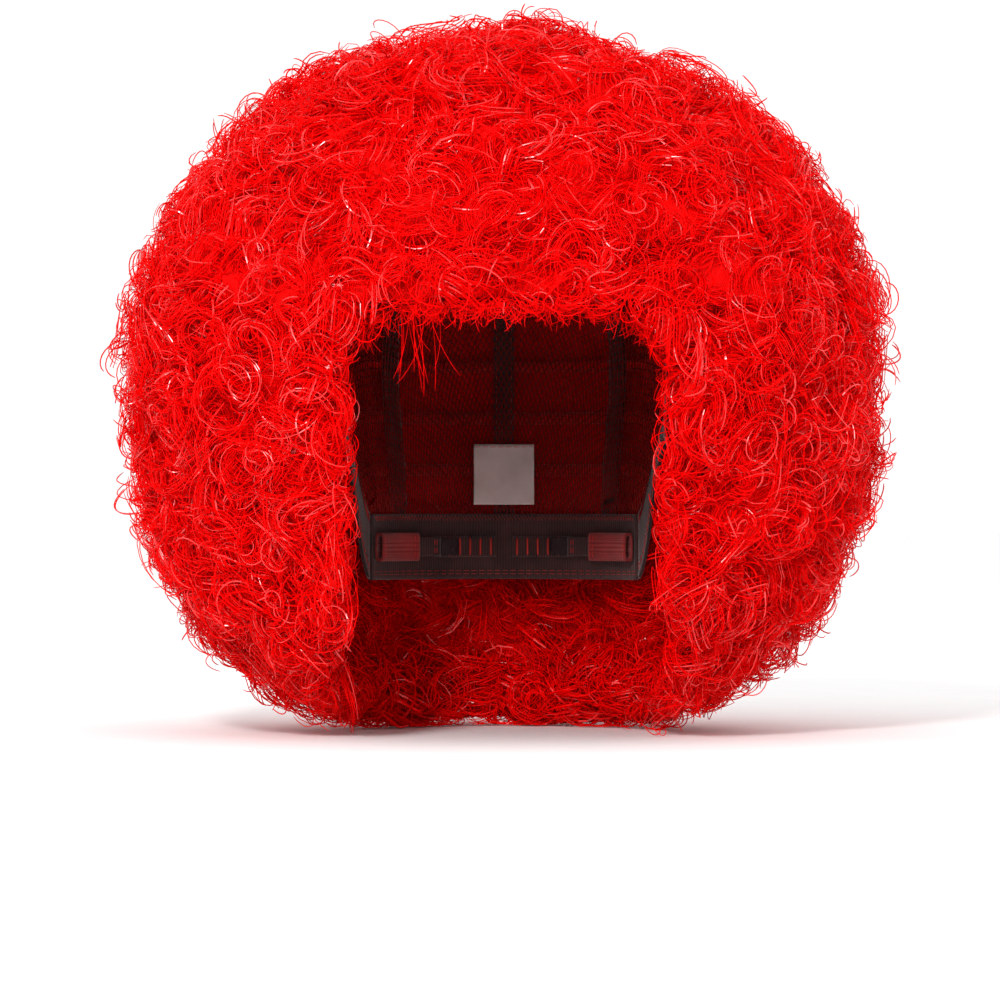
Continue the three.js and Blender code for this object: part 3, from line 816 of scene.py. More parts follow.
def keep_in_hair(paths, reach, intrusion):
    """Draws in whole fibres that stand too far out, and says which stay out of the cap and the opening."""
    furthest = inside_envelope(paths).max(axis=1)
    limit = 1 + np.minimum(reach, FREE_REACH) / HAIR_HALF_WIDTH
    paths = HAIR_CENTRE + (paths - HAIR_CENTRE) * np.minimum(1, limit / furthest)[:, None, None]
    trim = LOWER_CORNER_TRIM * corner_share(paths.mean(axis=1)) * smoothstep(furthest, *TRIMMED_FROM)
    centre = HAIR_CENTRE[:2]
    paths[..., :2] = centre + (paths[..., :2] - centre) * (1 - trim)[:, None, None]
    lowest = paths[..., 2].min(axis=1)
    paths[..., 2] += np.maximum(cad_box[0][2] + FIBRE_RADIUS - lowest, 0)[:, None]
    head, face = void_depths(paths)
    azimuth = np.degrees(np.arctan2(np.abs(paths[..., 0]), -paths[..., 1]))
    beside_cap = paths[..., 2] > edge_level(azimuth) - EDGE_MARGIN
    keep = np.maximum(head, face).max(axis=1) < intrusion
    keep &= (head + np.where(beside_cap, CAP_LAYERS, 0)).max(axis=1) < CAP_TOUCH
    return paths, keep


def grow(kind):
    """All fibres of one kind: paths, the ways of their coils' axes, radii and shades."""
    own = np.random.default_rng(kind.seed)
    place, way = sample_surfaces(max(int(kind.clumps * DENSITY), FEWEST_CLUMPS), own)
    place = place - way * own.uniform(*kind.below, (len(place), 1))
    paths, axes = coils(kind, place, way, own)
    total = len(paths)
    middle = paths.mean(axis=1)
    paths = paths + (SWELL * lumps(middle)[:, None] * outward(middle))[:, None]
    reach = kind.reach + LUMP_REACH * lumps(paths.mean(axis=1)) + own.uniform(*REACH_STRAY, total)
    paths, keep = keep_in_hair(paths, reach, kind.into * own.uniform(*UNEVEN, total))
    clump_shade = np.repeat(own.normal(0, CLUMP_SHADE, len(place)), kind.fibres)
    shades = kind.shade + clump_shade + own.normal(0, FIBRE_SHADE, total)
    shades += PATCH_SHADE * shade_field(paths[:, kind.steps // 2])
    radii = kind.radius * np.exp(own.normal(0, STRAY, total))
    return paths[keep], axes[keep], radii[keep], np.clip(shades[keep], 0, 1)


def fringe():
    """The soft loose ends along the hairline, and one wisp of thin straight fibres that hangs lower."""
    own = np.random.default_rng(105)
    n = int(LOOSE_ENDS * DENSITY) + FEWEST_LOOSE_ENDS + WISP_FIBRES

    def drawn(draw, trait):
        values = draw(*LOOSE_END[trait], n)
        values[-WISP_FIBRES:] = draw(*WISP[trait], WISP_FIBRES)
        return values

    across_face = own.uniform(-1, 1, n) * FRINGE_HALF_WIDTH
    across_face[-WISP_FIBRES:] = WISP_PLACE + own.normal(0, WISP_SPREAD, WISP_FIBRES)
    corner = np.maximum(np.abs(across_face) - OPENING_HALF_WIDTH + OPENING_CORNER, 0)
    hairline = OPENING_TOP - OPENING_CORNER + np.sqrt(OPENING_CORNER**2 - corner**2)
    root_y = FRINGE_CURVE * across_face**2 - FRINGE_FRONT + own.uniform(*FRINGE_ROOTS_BACK, n)
    root_z = hairline + own.uniform(*FRINGE_ROOTS_UP, n)
    length = drawn(own.uniform, "length")
    lean = drawn(own.normal, "lean")
    bend = drawn(own.normal, "bend")
    t = np.linspace(0, 1, FRINGE_STEPS)
    angle = lean[:, None] + bend[:, None] * t
    step = length[:, None] / (FRINGE_STEPS - 1)
    x = across_face[:, None] + np.cumsum(np.sin(angle) * step, axis=1)
    y = root_y[:, None] - own.uniform(*FRINGE_FORWARD, (n, 1)) * t
    z = root_z[:, None] - np.cumsum(np.cos(angle) * step, axis=1)
    return points(x, y, z), np.clip(own.normal(*FRINGE_SHADE, n), 0, 1)


def lock_of(p):
    """The CAD hair node that a place belongs to, as (row, part of the row, whether left)."""
    x, y, z, height, power = about_centre(p)
    level = np.maximum(inside_envelope(p), 1e-6)
    polar = np.degrees(np.arccos(np.clip(np.abs(z) / height / level, 0, 1) ** (power / 2)))
    polar = np.where(z < 0, 180 - polar, polar)
    row = np.clip(np.searchsorted(ROW_ENDS_OUTSIDE, polar), 1, ROWS[-1])
    azimuth = np.degrees(np.arctan2(np.abs(x) / HAIR_HALF_WIDTH, -y / HAIR_HALF_DEPTH))
    edge = face_edge(np.interp(polar, ROW_ENDS_OUTSIDE, ROWS), FACE_EDGE_OUTSIDE)
    share = np.clip((azimuth - edge) / (180 - edge), 0, 0.999)
    parts = np.where(row > ROWS_ABOVE_FACE, len(LOWER_LOCKS), len(UPPER_LOCKS))
    return row, np.floor(share * parts).astype(int), x >= 0


def hair_nodes():
    """(lock's name, row, part of the row, side, shares) of every hair node."""
    nodes = [("row_1_crown", 1, 0, 0, (-1, 1))]
    for row in ROWS[2:].tolist():
        locks = LOWER_LOCKS if row > ROWS_ABOVE_FACE else UPPER_LOCKS
        for part, (where, shares) in enumerate(locks.items()):
            for hand, side in SIDES:
                nodes.append((f"row_{row}_{where}_{hand}", row, part, side, shares))
    return nodes


def base_mass(build, row, side, shares):
    """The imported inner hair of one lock: a closed lumpy body under the loose curls."""
    columns, rows = LOCK_GRID if side else CROWN_GRID
    beside_face = row > ROWS_ABOVE_FACE
    first, last = EDGE_GAP, ROWS_ABOVE_FACE - EDGE_GAP
    if beside_face:
        first, last = ROWS_ABOVE_FACE + EDGE_GAP, LOWEST_MASS
    end = row + (ROW_OVERLAP if row > 1 else 0)
    row_line = np.linspace(max(row - 1 - ROW_OVERLAP, first), min(end, last), rows)
    share, row_at = np.meshgrid(np.linspace(*shares, columns), row_line)
    hand = side or np.where(share >= 0, 1.0, -1.0)

    def at_depth(depth):
        return hair_point(row_at, np.abs(share), depth, hand)

    outer, inner = at_depth(1.0), at_depth(0.0)
    thickness = np.linalg.norm(outer - inner, axis=-1)
    skin = lerp(inner, outer, np.clip(1 - CURL_DEPTH / thickness, LEAST_MASS, 1)[..., None])
    under = at_depth(lerp(*MASS_UNDERSIDE, smoothstep(row_at, *MASS_HOLLOWS)))
    if beside_face and shares[0] == 0:
        lift = FACE_LIFT * smoothstep(row_at, *ROWS[-2:])
        drawn = points(side * FACE_DRAW[0], FACE_DRAW[1], lift)
        drawn = drawn * np.exp(-share * FACE_DRAW_FADE)[..., None]
        skin, under = skin + drawn, under + drawn * UNDERSIDE_DRAW
    swell = MASS_LUMPS[0] * lumps(skin) + MASS_LUMPS[1] * lumps(skin * FINE_LUMPS)
    skin = skin + outward(skin) * swell[..., None]
    flat = np.stack([share, row_at - row_line[0]], axis=-1)
    verts = np.concatenate([skin.reshape(-1, 3), under.reshape(-1, 3)])
    # its tone follows the lumps: lighter where they push it out, darker in the dips, a painted shade
    add_body(build, skin, under, flat, PACKED_SLOT, MASS_SHADE[0] + MASS_SHADE[1] * lumps(verts))


def make_hair():
    fibres = [grow(kind) for kind in KINDS.values()]
    owners = [lock_of(paths.mean(axis=1)) for paths, *_ in fibres]
    fringe_paths, fringe_shades = fringe()
    fringe_owner = lock_of(fringe_paths.mean(axis=1))

    def belong(owner, row, part, side):
        rows, parts, left = owner
        return (rows == row) & ((row == 1) | ((parts == part) & (left == (side > 0))))

    for lock, row, part, side, shares in hair_nodes():
        under, over = Build(), Build()
        base_mass(under, row, side, shares)
        for build, (paths, axes, radii, shades), owner in zip((under, over, over, over), fibres, owners):
            mine = belong(owner, row, part, side)
            glossy = (shades * GLOSS_STEPS) % 1 < GLOSS_SHARE
            for some, mat in ((mine & ~glossy, 0), (mine & glossy, FLAT_SIDED_SLOT)):
                tubes(build, paths[some], radii[some], reference=axes[some], mat=mat, shade=shades[some])
        mine = belong(fringe_owner, row, part, side)
        tubes(over, fringe_paths[mine], FRINGE_RADIUS, shade=fringe_shades[mine])
        for build, layer in ((under, "underhair"), (over, "curls")):
            make_piece(build, f"{layer}_{lock}", f"hair_{lock}", "hair_fibre", uv_name="OFBake")


make_hair()

# ---------------------------------------------------------------- the cap's own pieces

CLOTH_MIDDLE = 0.0007  # each layer's middle, out from the head
CROWN_CLOTH_MIDDLE = 0.0005
CLOTH_THICKNESS = 0.0008
HEM_THICKNESS = 0.0013
RIBBON_MIDDLE = 0.0025
WEFT_MIDDLE = 0.0047

CROWN_DISC_RADIUS = 0.0115
CROWN_SEAMS = (0.72, 0.9)  # shares of its radius
NET_START = 9.0  # degrees from the crown
NET_REACH = 130
NET_RISES_OVER = (4, 2)  # degrees above its end
NET_PITCH = 0.0030
NET_CORD_RADIUS = 0.00034
NET_WEAVE = 0.00022  # how far a cord goes over and under those it crosses
NET_OVER_BAND = 0.0007
NET_UNDER_BAND = 0.003
NET_PLAN_SCALE = 0.00155  # metres of net for each degree from the crown

FRONT_BAND_END = 76
SIDE_BINDING_SPAN = (77, 127)
BAND_SEAMS = (0.13, 0.20)  # shares of the band's height
BAND_ZIGZAG = (0.84, 0.97)
WIDE_ZIGZAG = (0.90, 0.98)  # of the nape band's height and the ear tab's
BAND_HEM = 0.14
RIBBONS = {
    "cap_ribbon_front": 0,
    "cap_ribbon_back": 180,
    "cap_ribbon_side_left": 72,
    "cap_ribbon_side_right": -72,
    "cap_ribbon_rear_left": 142,
    "cap_ribbon_rear_right": -142,
}
RIBBON_WIDTH = 0.009
RIBBON_START = 13
RIBBON_THICKNESS = (0.0010, 0.0007)  # at its rims, and between them
RIBBON_SEAMS = (-0.36, 0.36)  # shares of its width
RIBBON_SEAM_DEPTH = 0.0005
WEFT_POLARS = (15, 27, 39, 51, 63, 74, 90, 103, 116, 131)
WEFT_STARTS = (4, 2, 2, 2, 2, 50, 82, 112, 120, 126)
WEFT_HALF_HEIGHT = 1.4  # degrees from the crown
WEFT_LOOP_PITCH = 0.0008
WEFT_LOOP_RADIUS = 0.00034
WEFT_LOOP_DEPTH = 0.0006  # how far inside the tape's middle they lie
WEFT_LOOP_SLANT = 0.00018
WEFT_LOOP_BELLY = 0.00025
WEFT_LOOP_SHADES = (0.3, 0.7)
WEFT_THICKNESS = 0.0009
WEFT_SEAMS = (-0.45, 0.45)  # shares of half its height
WEFT_SEAM_DEPTH = 0.0013
WEFT_POINTS = 400

EAR_TAB_MIDDLE = 65
EAR_TAB_HALF_SPAN = 8
EAR_TAB_HEIGHT = 0.034
EAR_TAB_NARROWING = 0.45
EAR_TAB_GAP = 0.0002
EAR_TAB_CORNER = 0.16  # share of its height that the rounding of its lower corners takes
EAR_TAB_BOTTOM = 0.12  # how far they round, 0 being to a point
EAR_TAB_HEM = 0.05
EAR_TAB_SEAMS = (0.10, 0.22)  # how far in from its sides
EAR_TAB_SEAM_RISE = 0.6  # and, as a share of that, from its bottom
EAR_TAB_TOP_SEAM = (0.06, 0.94)  # from and to, across it

NAPE_BAND_END = 58
NAPE_BAND_HEIGHT = 0.028
NAPE_INSET = 1  # degrees from its ends, where its seams stop
NAPE_HEM = 0.08
NAPE_SEAMS = (0.08, 0.13)
ADJUSTER_LEVEL = -0.166
ADJUSTER_RADIUS = 0.0623
STRAP_SPAN = (26, 55)
STRAP_HEIGHT = 0.008
STRAP_THICKNESS = (0.0008, 0.0006)  # at its rims, and between them
STRAP_TACKS = (1.6, 2.6)  # degrees from the end that holds the hook
TACK_DEPTH = 0.0004
TACK_REACH = 0.4  # share of the strap's height
SLEEVE_SPAN = (36, 57)
SLEEVE_CENTRE = 0.06315
SLEEVE_OUTER = (0.0022, 0.0061)
SLEEVE_INNER = (0.0014, 0.0048)
SLEEVE_STITCHES = (37.2, 38.4, 55.8)  # bearings, degrees from the middle of the back
SLEEVE_STITCH_DEPTH = 1.06  # of its half thickness
SLEEVE_STITCH_REACH = 0.8  # of its half height
SLEEVE_PUFF = 0.05  # how much thicker it is in the middle
LADDER_SPAN = (3, 27)
LADDER_RADIUS = 0.06545
LADDER_HEIGHT = 0.009
RUNG_COUNT = 6
RUNG_RADIUS = 0.00045
RUNG_REACH = 0.42  # share of the ladder's height
RUNG_DEPTH = 0.0003  # how far inside the tape's middle its ends lie
RUNG_BOW = 0.0005  # and how much further its middle does
LADDER_THICKNESS = 0.0004

LABEL_HALF_WIDTH = 0.013
LABEL_LEVELS = (-0.148, -0.122)
LABEL_OFFSET = -0.00125
LABEL_CURL = 0.002
LABEL_THICKNESS = 0.0004
LABEL_FOLD = 0.9  # the share of its height where it is folded over
LABEL_FOLD_THICKNESS = 0.0009
LABEL_SEAM_ROW = 23
LABEL_SEAM_LIFT = 0.0005

THREAD_RADIUS = 0.00017
CROWN_STITCH_DIP = 1.5 * THREAD_RADIUS
STITCH_LENGTH = 0.0024
STITCH_GAP = 0.0010
STITCH_CREST = 0.7  # the share of a stitch that lies on the cloth
ZIGZAG_PITCH = 0.0016
THREAD_SHADE = 0.6
RIM_FROM = 0.4  # share of an elastic's width, from its middle to its rims


def along_line(line, step):
    """Points at even steps along a polyline, and its direction there."""
    reach = np.concatenate([[0], np.cumsum(steps_along(line))])
    at = np.arange(step / 2, reach[-1], step)
    place = np.stack([np.interp(at, reach, line[:, i]) for i in range(3)], axis=-1)
    before = np.stack([np.interp(at - step / 8, reach, line[:, i]) for i in range(3)], axis=-1)
    return place, unit(place - before + 1e-12)


def running_stitch(build, line, mat=1, dip=(0, 0, 0)):
    """A row of short stitches along a line. Their ends dip into the cloth."""
    place, along = along_line(line, STITCH_LENGTH + STITCH_GAP)
    end = along * STITCH_LENGTH / 2
    crest = end * STITCH_CREST
    paths = np.stack([place - end + dip, place - crest, place + crest, place + end + dip], axis=1)
    tubes(build, paths, THREAD_RADIUS, mat=mat, shade=THREAD_SHADE)


def zigzag(build, low, high):
    """One thread that runs to and fro between two lines."""
    a, _ = along_line(low, ZIGZAG_PITCH)
    b, _ = along_line(high, ZIGZAG_PITCH)
    n = min(len(a), len(b))
    path = np.empty((1, 2 * n, 3))
    path[0, 0::2], path[0, 1::2] = a[:n], b[:n]
    tubes(build, path, THREAD_RADIUS, mat=1, shade=THREAD_SHADE)


def on_nape_arc(radius, bearing, z):
    """A point on an arc about the nape's upright axis. Bearing 0 is the middle of the back."""
    turn = np.radians(bearing)
    return points(radius * np.sin(turn), NAPE_CENTRE_Y + radius * np.cos(turn), z)


def hemmed(v, hem):
    """A cloth's thickness, more where its edge is folded over."""
    return np.where(np.minimum(v, 1 - v) < hem, HEM_THICKNESS, CLOTH_THICKNESS)


def edged(u, rim, middle):
    """An elastic's thickness: more along its two rims."""
    return np.where(np.abs(u - 0.5) > RIM_FROM, rim, middle)


def declare_sheet(middle):
    """Works out the steps between neighbouring points of a cloth's middle grid; nothing further is done with
    them.
    """
    du = np.diff(middle, axis=1)[:-1]
    dv = np.diff(middle, axis=0)[:, :-1]


def crown_net():
    """The net's cords, in two crossing sets, each over and under the others in turn."""
    build = Build()
    reach = NET_REACH * NET_PLAN_SCALE * math.sqrt(2)
    steps = np.arange(-reach, reach, NET_PITCH)
    c, t = np.meshgrid(steps, steps, indexing="ij")
    right, back = (c + t) / math.sqrt(2), (c - t) / math.sqrt(2)
    polar = np.hypot(right, back) / NET_PLAN_SCALE
    azimuth = np.degrees(np.arctan2(right, -back))
    end = polar_of_level(edge_level(azimuth) + band_height(azimuth) - NET_UNDER_BAND)
    inside = (polar > NET_START) & (polar < end)
    over_band = NET_OVER_BAND * smoothstep(polar, *(end - rise for rise in NET_RISES_OVER))
    i, j = np.indices(c.shape)
    over = NET_WEAVE * np.where((i + j) % 2, 1, -1)
    one_way = hollow(polar, azimuth, CLOTH_MIDDLE + over + over_band)
    other_way = hollow(polar, azimuth, CLOTH_MIDDLE - over + over_band).transpose(1, 0, 2)
    runs = []
    for place, shown in ((one_way, inside), (other_way, inside.T)):
        for row, mask in zip(place, shown):
            edges = np.flatnonzero(np.diff(np.r_[0, mask.astype(int), 0]))
            runs += [row[a:b] for a, b in zip(edges[::2], edges[1::2]) if b - a > 1]
    tubes(build, runs, NET_CORD_RADIUS)
    length = sum(steps_along(run).sum() for run in runs)
    piece = make_piece(build, "net", "crown_net", "cap_net", uv_name="OFBake")


def crown_disc():
    build = Build()
    u, v = grid(25, 25)
    u, v = 2 * u - 1, 2 * v - 1
    x = CROWN_DISC_RADIUS * u * np.sqrt(1 - v * v / 2)
    y = CROWN_DISC_RADIUS * v * np.sqrt(1 - u * u / 2)
    middle = points(x, y, CROWN_CLOTH_MIDDLE)
    size = add_cloth(build, middle, CLOTH_THICKNESS)
    turn = np.linspace(0, TAU, 90)
    for share in CROWN_SEAMS:
        ring = points(np.cos(turn), np.sin(turn), 0) * share * CROWN_DISC_RADIUS
        running_stitch(build, ring, dip=(0, 0, CROWN_STITCH_DIP))
    piece = make_piece(build, "crown_cloth", "crown_disc", "lining_cloth")
    declare_sheet(middle)


def edge_band(azimuth, share, offset):
    """A point of the band along the cap's lower edge."""
    level = lerp(edge_level(azimuth), edge_level(azimuth) + band_height(azimuth), share)
    return hollow(polar_of_level(level), azimuth, offset)


def nape_strip(bearing, share, offset):
    """A point of the wide band at the neck."""
    return on_nape_arc(NAPE_RADIUS + offset, bearing, float(edge_level(180)) + NAPE_BAND_HEIGHT * share)


def band(name, node, slot, at, span, columns, inset=0, hem=BAND_HEM, seams=BAND_SEAMS, teeth=BAND_ZIGZAG):
    """A band of the cap, hemmed, with two rows of stitches below and a zigzag above."""
    build = Build()
    u, v = grid(15, columns)
    middle = at(lerp(*span, u), v, CLOTH_MIDDLE)
    size = add_cloth(build, middle, hemmed(v, hem))
    line = np.linspace(span[0] + inset, span[1] - inset, 200)
    for share in seams:
        running_stitch(build, at(line, share, 0.0))
    zigzag(build, *(at(line, share, 0.0) for share in teeth))
    piece = make_piece(build, name, node, slot)
    declare_sheet(middle)


def ear_tab(hand, side):
    """A stitched cloth tab that narrows downward from its seam with the front band."""
    build = Build()
    top = float(edge_level(EAR_TAB_MIDDLE)) - EAR_TAB_GAP

    def tab(u, v, offset):
        corner = np.sqrt(np.clip(1 - (1 - np.clip(v / EAR_TAB_CORNER, 0, 1)) ** 2, EAR_TAB_BOTTOM, 1))
        half = EAR_TAB_HALF_SPAN * (1 - EAR_TAB_NARROWING * (1 - v) ** 2) * corner
        level = top - EAR_TAB_HEIGHT * (1 - v)
        return hollow(polar_of_level(level), side * (EAR_TAB_MIDDLE + half * (2 * u - 1)), offset)

    u, v = grid(31, 21)
    middle = tab(u, v, CLOTH_MIDDLE)
    add_cloth(build, middle, hemmed(v, EAR_TAB_HEM))
    s = np.linspace(0, 1, 60)
    for inset in EAR_TAB_SEAMS:
        rise = inset * EAR_TAB_SEAM_RISE
        left = tab(inset, 1 - (1 - rise) * s, 0.0)
        low = tab(lerp(inset, 1 - inset, s), rise, 0.0)
        right = tab(1 - inset, lerp(rise, 1, s), 0.0)
        running_stitch(build, np.concatenate([left, low, right]))
    zigzag(build, *(tab(lerp(*EAR_TAB_TOP_SEAM, s), share, 0.0) for share in WIDE_ZIGZAG))
    piece = build.object(f"ear_flap_{hand}", MATERIALS["lining_cloth"], "cloth")
    seam = tab(0.5, 1.0, CLOTH_MIDDLE)
    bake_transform(piece)
    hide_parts(f"ear_tab_{hand}")
    declare_sheet(middle)


def ribbon(node, azimuth):
    """An elastic over the net, from the crown disc down to the cap's edge."""
    build = Build()
    end = float(polar_of_level(edge_level(azimuth) + band_height(azimuth) / 2))

    def tape(polar, across, offset):
        middle = hollow(polar, azimuth, offset)
        sideways = unit(hollow(polar, azimuth + 1, 0.0) - hollow(polar, azimuth - 1, 0.0))
        return middle + sideways * np.asarray(RIBBON_WIDTH * across)[..., None]

    u, v = grid(70, 9)
    add_cloth(build, tape(lerp(RIBBON_START, end, v), u - 0.5, RIBBON_MIDDLE), edged(u, *RIBBON_THICKNESS))
    line = np.linspace(RIBBON_START, end, 160)
    for across in RIBBON_SEAMS:
        running_stitch(build, tape(line, across, RIBBON_MIDDLE - RIBBON_SEAM_DEPTH))
    make_piece(build, node.replace("cap_", "over_"), node, "elastic")


def weft_track(number, polar, start):
    """The stitched head of one weft: a tape, the looped-over roots of its fibres, and two threads."""
    build = Build()
    own = np.random.default_rng(900 + number)
    line = np.linspace(start, 360 - start, WEFT_POINTS)

    def track(share, offset, azimuth=line):
        return hollow(polar + WEFT_HALF_HEIGHT * share, azimuth, WEFT_MIDDLE - offset)

    u, v = grid(3, 120)
    add_cloth(build, track(2 * v - 1, 0.0, lerp(start, 360 - start, u)), WEFT_THICKNESS)
    a, _ = along_line(track(-1, WEFT_LOOP_DEPTH), WEFT_LOOP_PITCH)
    high = track(1, WEFT_LOOP_DEPTH)
    reach = np.linspace(0, 1, len(a))
    b = np.stack([np.interp(reach, np.linspace(0, 1, WEFT_POINTS), axis) for axis in high.T], axis=-1)
    slant = own.normal(0, WEFT_LOOP_SLANT, (len(a), 1)) * unit(np.roll(a, -1, axis=0) - a)
    belly = unit((a + b) / 2) * WEFT_LOOP_BELLY
    paths = np.stack([a - slant, (a + b) / 2 - belly, b + slant], axis=1)
    tubes(build, paths, WEFT_LOOP_RADIUS, mat=1, shade=own.uniform(*WEFT_LOOP_SHADES, len(a)))
    for share in WEFT_SEAMS:
        running_stitch(build, track(share, WEFT_SEAM_DEPTH), mat=2)
    make_piece(build, f"weft_{number}", f"weft_track_{number}", "weft_stitching")


def superellipse(half, count):
    """Points round a curve between an ellipse and a rectangle."""
    turn = TAU * np.arange(count) / count
    x, y = np.cos(turn), np.sin(turn)
    return half[0] * np.sign(x) * np.sqrt(np.abs(x)), half[1] * np.sign(y) * np.sqrt(np.abs(y))


def adjuster_sleeve(hand, side):
    """A cloth tunnel, sewn to the nape band, that the strap slides in."""
    build = Build()
    around, along = 36, 26
    bearing = np.linspace(*SLEEVE_SPAN, along)[:, None]
    puff = 1 + SLEEVE_PUFF * np.sin(np.linspace(0, math.pi, along))[:, None]
    loops = []
    for half in (SLEEVE_OUTER, SLEEVE_INNER):
        x, y = superellipse(half, around)
        loops.append(on_nape_arc(SLEEVE_CENTRE + x * puff, side * bearing, ADJUSTER_LEVEL + y))
    index = np.arange(2 * along * around).reshape(2, along, around)
    rings = np.concatenate([index[0], index[1, ::-1]])
    beside = np.roll(rings, -1, axis=1)
    faces = np.stack([rings, beside, np.roll(beside, -1, axis=0), np.roll(rings, -1, axis=0)], axis=-1)
    faces = faces.reshape(-1, 4)[:, ::-side]
    length = ADJUSTER_RADIUS * math.radians(SLEEVE_SPAN[1] - SLEEVE_SPAN[0])
    rim = loops[0][0]
    girth = float(steps_along(np.concatenate([rim, rim[:1]])).sum())
    u = np.tile(np.arange(around) / around * girth, 2 * along)
    v = np.tile(np.repeat(np.linspace(0, length, along), around), 2)
    build.add(np.stack(loops), [(faces, np.stack([u, v], axis=-1)[faces])])
    inside = SLEEVE_CENTRE - SLEEVE_OUTER[0] * SLEEVE_STITCH_DEPTH
    reach = SLEEVE_STITCH_REACH
    level = np.linspace(-reach, reach, 12) * SLEEVE_OUTER[1] + ADJUSTER_LEVEL
    for place in SLEEVE_STITCHES:
        running_stitch(build, on_nape_arc(inside, side * place, level))
    piece = make_piece(build, f"tunnel_{hand}", f"adjuster_sleeve_{hand}", "lining_cloth")


def adjuster_strap(hand, side):
    build = Build()
    u, v = grid(9, 60)
    level = ADJUSTER_LEVEL + STRAP_HEIGHT * (v - 0.5)
    middle = on_nape_arc(ADJUSTER_RADIUS, side * lerp(*STRAP_SPAN, u), level)
    add_cloth(build, middle, edged(v, *STRAP_THICKNESS))
    level = np.linspace(-TACK_REACH, TACK_REACH, 8) * STRAP_HEIGHT + ADJUSTER_LEVEL
    for end in STRAP_TACKS:
        bearing = side * (STRAP_SPAN[0] + end)
        running_stitch(build, on_nape_arc(ADJUSTER_RADIUS - TACK_DEPTH, bearing, level))
    make_piece(build, f"strap_{hand}", f"adjuster_strap_{hand}", "elastic", f"adjuster_{hand}")


def adjuster_ladder(hand, side):
    """A tape with a row of loops, any of which the hook can catch in."""
    build = Build()
    u, v = grid(7, 50)
    level = ADJUSTER_LEVEL + LADDER_HEIGHT * (v - 0.5)
    add_cloth(build, on_nape_arc(LADDER_RADIUS, side * lerp(*LADDER_SPAN, u), level), LADDER_THICKNESS)
    s = np.linspace(-1, 1, 9)
    radius = LADDER_RADIUS - RUNG_DEPTH - RUNG_BOW * (1 - s**4)
    level = ADJUSTER_LEVEL + RUNG_REACH * LADDER_HEIGHT * s
    bearings = [lerp(*LADDER_SPAN, (rung + 0.5) / RUNG_COUNT) for rung in range(RUNG_COUNT)]
    loops = [on_nape_arc(radius, side * bearing, level) for bearing in bearings]
    tubes(build, loops, RUNG_RADIUS, 4, mat=1)
    make_piece(build, f"loops_{hand}", f"adjuster_ladder_{hand}", "elastic")


def care_label():
    """A blank satin label, sewn on along its top and curling away at its bottom."""
    build = Build()
    u, v = grid(25, 25)
    offset = LABEL_OFFSET - LABEL_CURL * (1 - v) ** 2
    middle = hollow(polar_of_level(lerp(*LABEL_LEVELS, v)), 180, offset)
    sideways = 2 * u - 1
    middle[..., 0] = LABEL_HALF_WIDTH * sideways
    middle[..., 1] -= LABEL_CURL * sideways**2
    thickness = np.where(v > LABEL_FOLD, LABEL_FOLD_THICKNESS, LABEL_THICKNESS)
    size = add_cloth(build, middle, thickness)
    running_stitch(build, middle[LABEL_SEAM_ROW] - [0, LABEL_SEAM_LIFT, 0])
    piece = make_piece(build, "label", "care_label", "label_satin")
    declare_sheet(middle)


def make_cap():
    crown_net()
    crown_disc()
    front = (-FRONT_BAND_END, FRONT_BAND_END)
    band("front_lining", "front_band", "lining_cloth", edge_band, front, 140)
    nape = (-NAPE_BAND_END, NAPE_BAND_END)
    sewn = {"inset": NAPE_INSET, "hem": NAPE_HEM, "seams": NAPE_SEAMS, "teeth": WIDE_ZIGZAG}
    band("nape_elastic", "nape_band", "elastic", nape_strip, nape, 90, **sewn)
    care_label()
    for node, azimuth in RIBBONS.items():
        ribbon(node, azimuth)
    for number, (polar, start) in enumerate(zip(WEFT_POLARS, WEFT_STARTS), 1):
        weft_track(number, polar, start)
    for hand, side in SIDES:
        span = tuple(side * azimuth for azimuth in SIDE_BINDING_SPAN)
        band(f"ear_binding_{hand}", f"side_binding_{hand}", "elastic", edge_band, span, 60)
        ear_tab(hand, side)
        adjuster_sleeve(hand, side)
        adjuster_strap(hand, side)
        adjuster_ladder(hand, side)
        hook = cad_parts[f"adjuster_hook_{hand}"].data
        hook.materials.clear()
        hook.materials.append(HOOK)


make_cap()

# ---------------------------------------------------------------- camera, floor and light

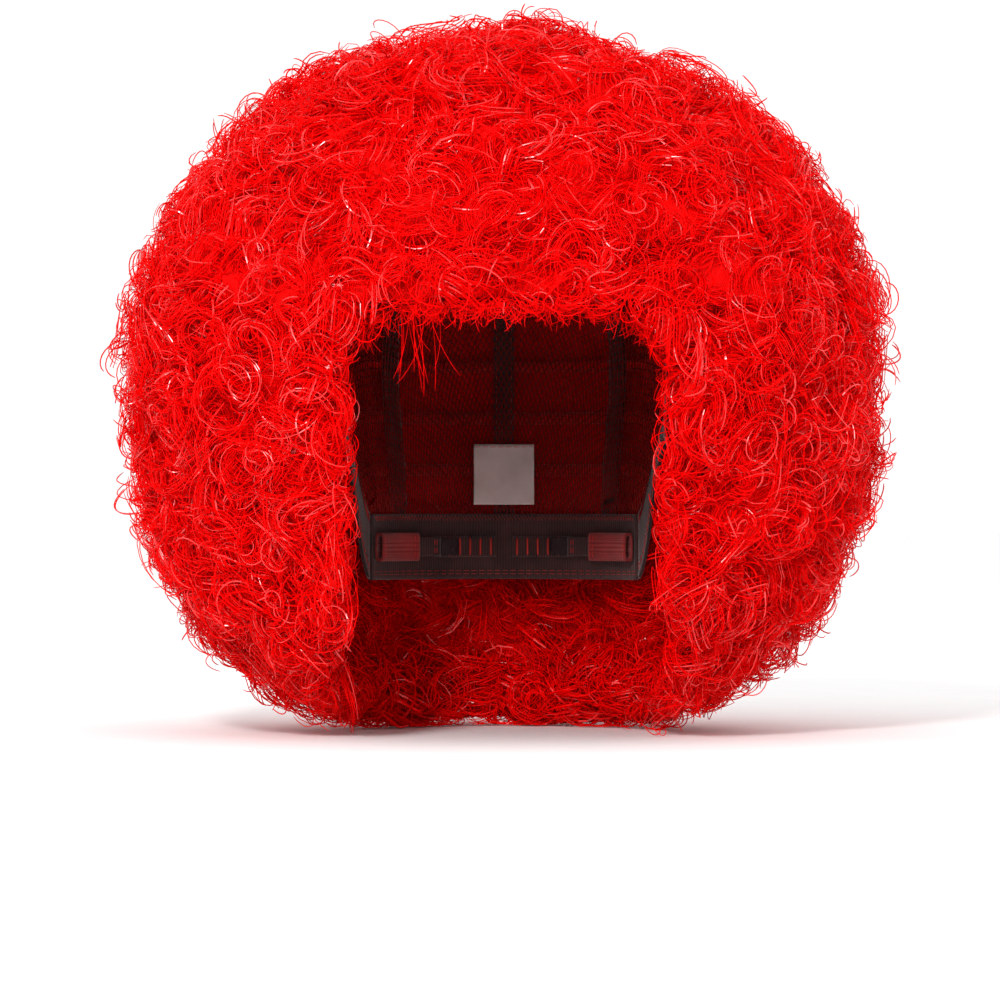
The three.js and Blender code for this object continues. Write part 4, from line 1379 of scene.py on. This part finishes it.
EYE_PLANE_Y = -0.075
EYE_DISTANCE = 1.80
EYE_PLANE_WIDTH = 0.397
AXIS_PLACE = (-0.0017, -0.146)  # of the camera's axis, across and up
SENSOR = 36.0
FLOOR_GAP = 0.0005
FLOOR_RADIUS = 12.0
FLOOR_SIDES = 64
KEY_PLACE = (-0.45, -1.62, 0.85)
KEY_AIM = (0, 0.02, -0.09)
KEY_SIZE = 0.25
KEY_WATTS = 22
ROOM_LIGHT = 1.04
FILM_GAMMA = 0.92


def make_camera():
    data = bpy.data.cameras.new("camera")
    data.sensor_width = SENSOR
    data.lens = SENSOR * EYE_DISTANCE / EYE_PLANE_WIDTH
    camera = add_object("camera", data)
    camera.location = (AXIS_PLACE[0], EYE_PLANE_Y - EYE_DISTANCE, AXIS_PLACE[1])
    camera.rotation_euler = (math.pi / 2, 0, 0)
    bpy.context.scene.camera = camera


def make_stage():
    """A pale round floor, wide enough to reach the horizon in every view."""
    level = cad_box[0][2] - FLOOR_GAP
    turn = TAU * np.arange(FLOOR_SIDES) / FLOOR_SIDES
    rim = points(FLOOR_RADIUS * np.cos(turn), FLOOR_RADIUS * np.sin(turn), level)
    mesh = bpy.data.meshes.new("floor")
    mesh.from_pydata(rim.tolist(), [], [tuple(range(FLOOR_SIDES))])
    mesh.materials.append(floor_material())
    floor = add_object("floor", mesh)


def make_light():
    """A bright even room, and one lamp above and left of the camera."""
    scene = bpy.context.scene
    scene.world = bpy.data.worlds.new("studio")
    scene.world.use_nodes = True
    room = scene.world.node_tree.nodes["Background"].inputs
    room["Color"].default_value = (1, 1, 1, 1)
    room["Strength"].default_value = ROOM_LIGHT
    data = bpy.data.lights.new("key", "AREA")
    data.shape = "SQUARE"
    data.size = KEY_SIZE
    data.energy = KEY_WATTS
    key = add_object("key", data)
    key.location = KEY_PLACE
    key.rotation_euler = (Vector(KEY_AIM) - Vector(KEY_PLACE)).to_track_quat("-Z", "Y").to_euler()
    scene.view_settings.view_transform = "Standard"
    scene.view_settings.gamma = FILM_GAMMA


make_camera()
make_stage()
make_light()
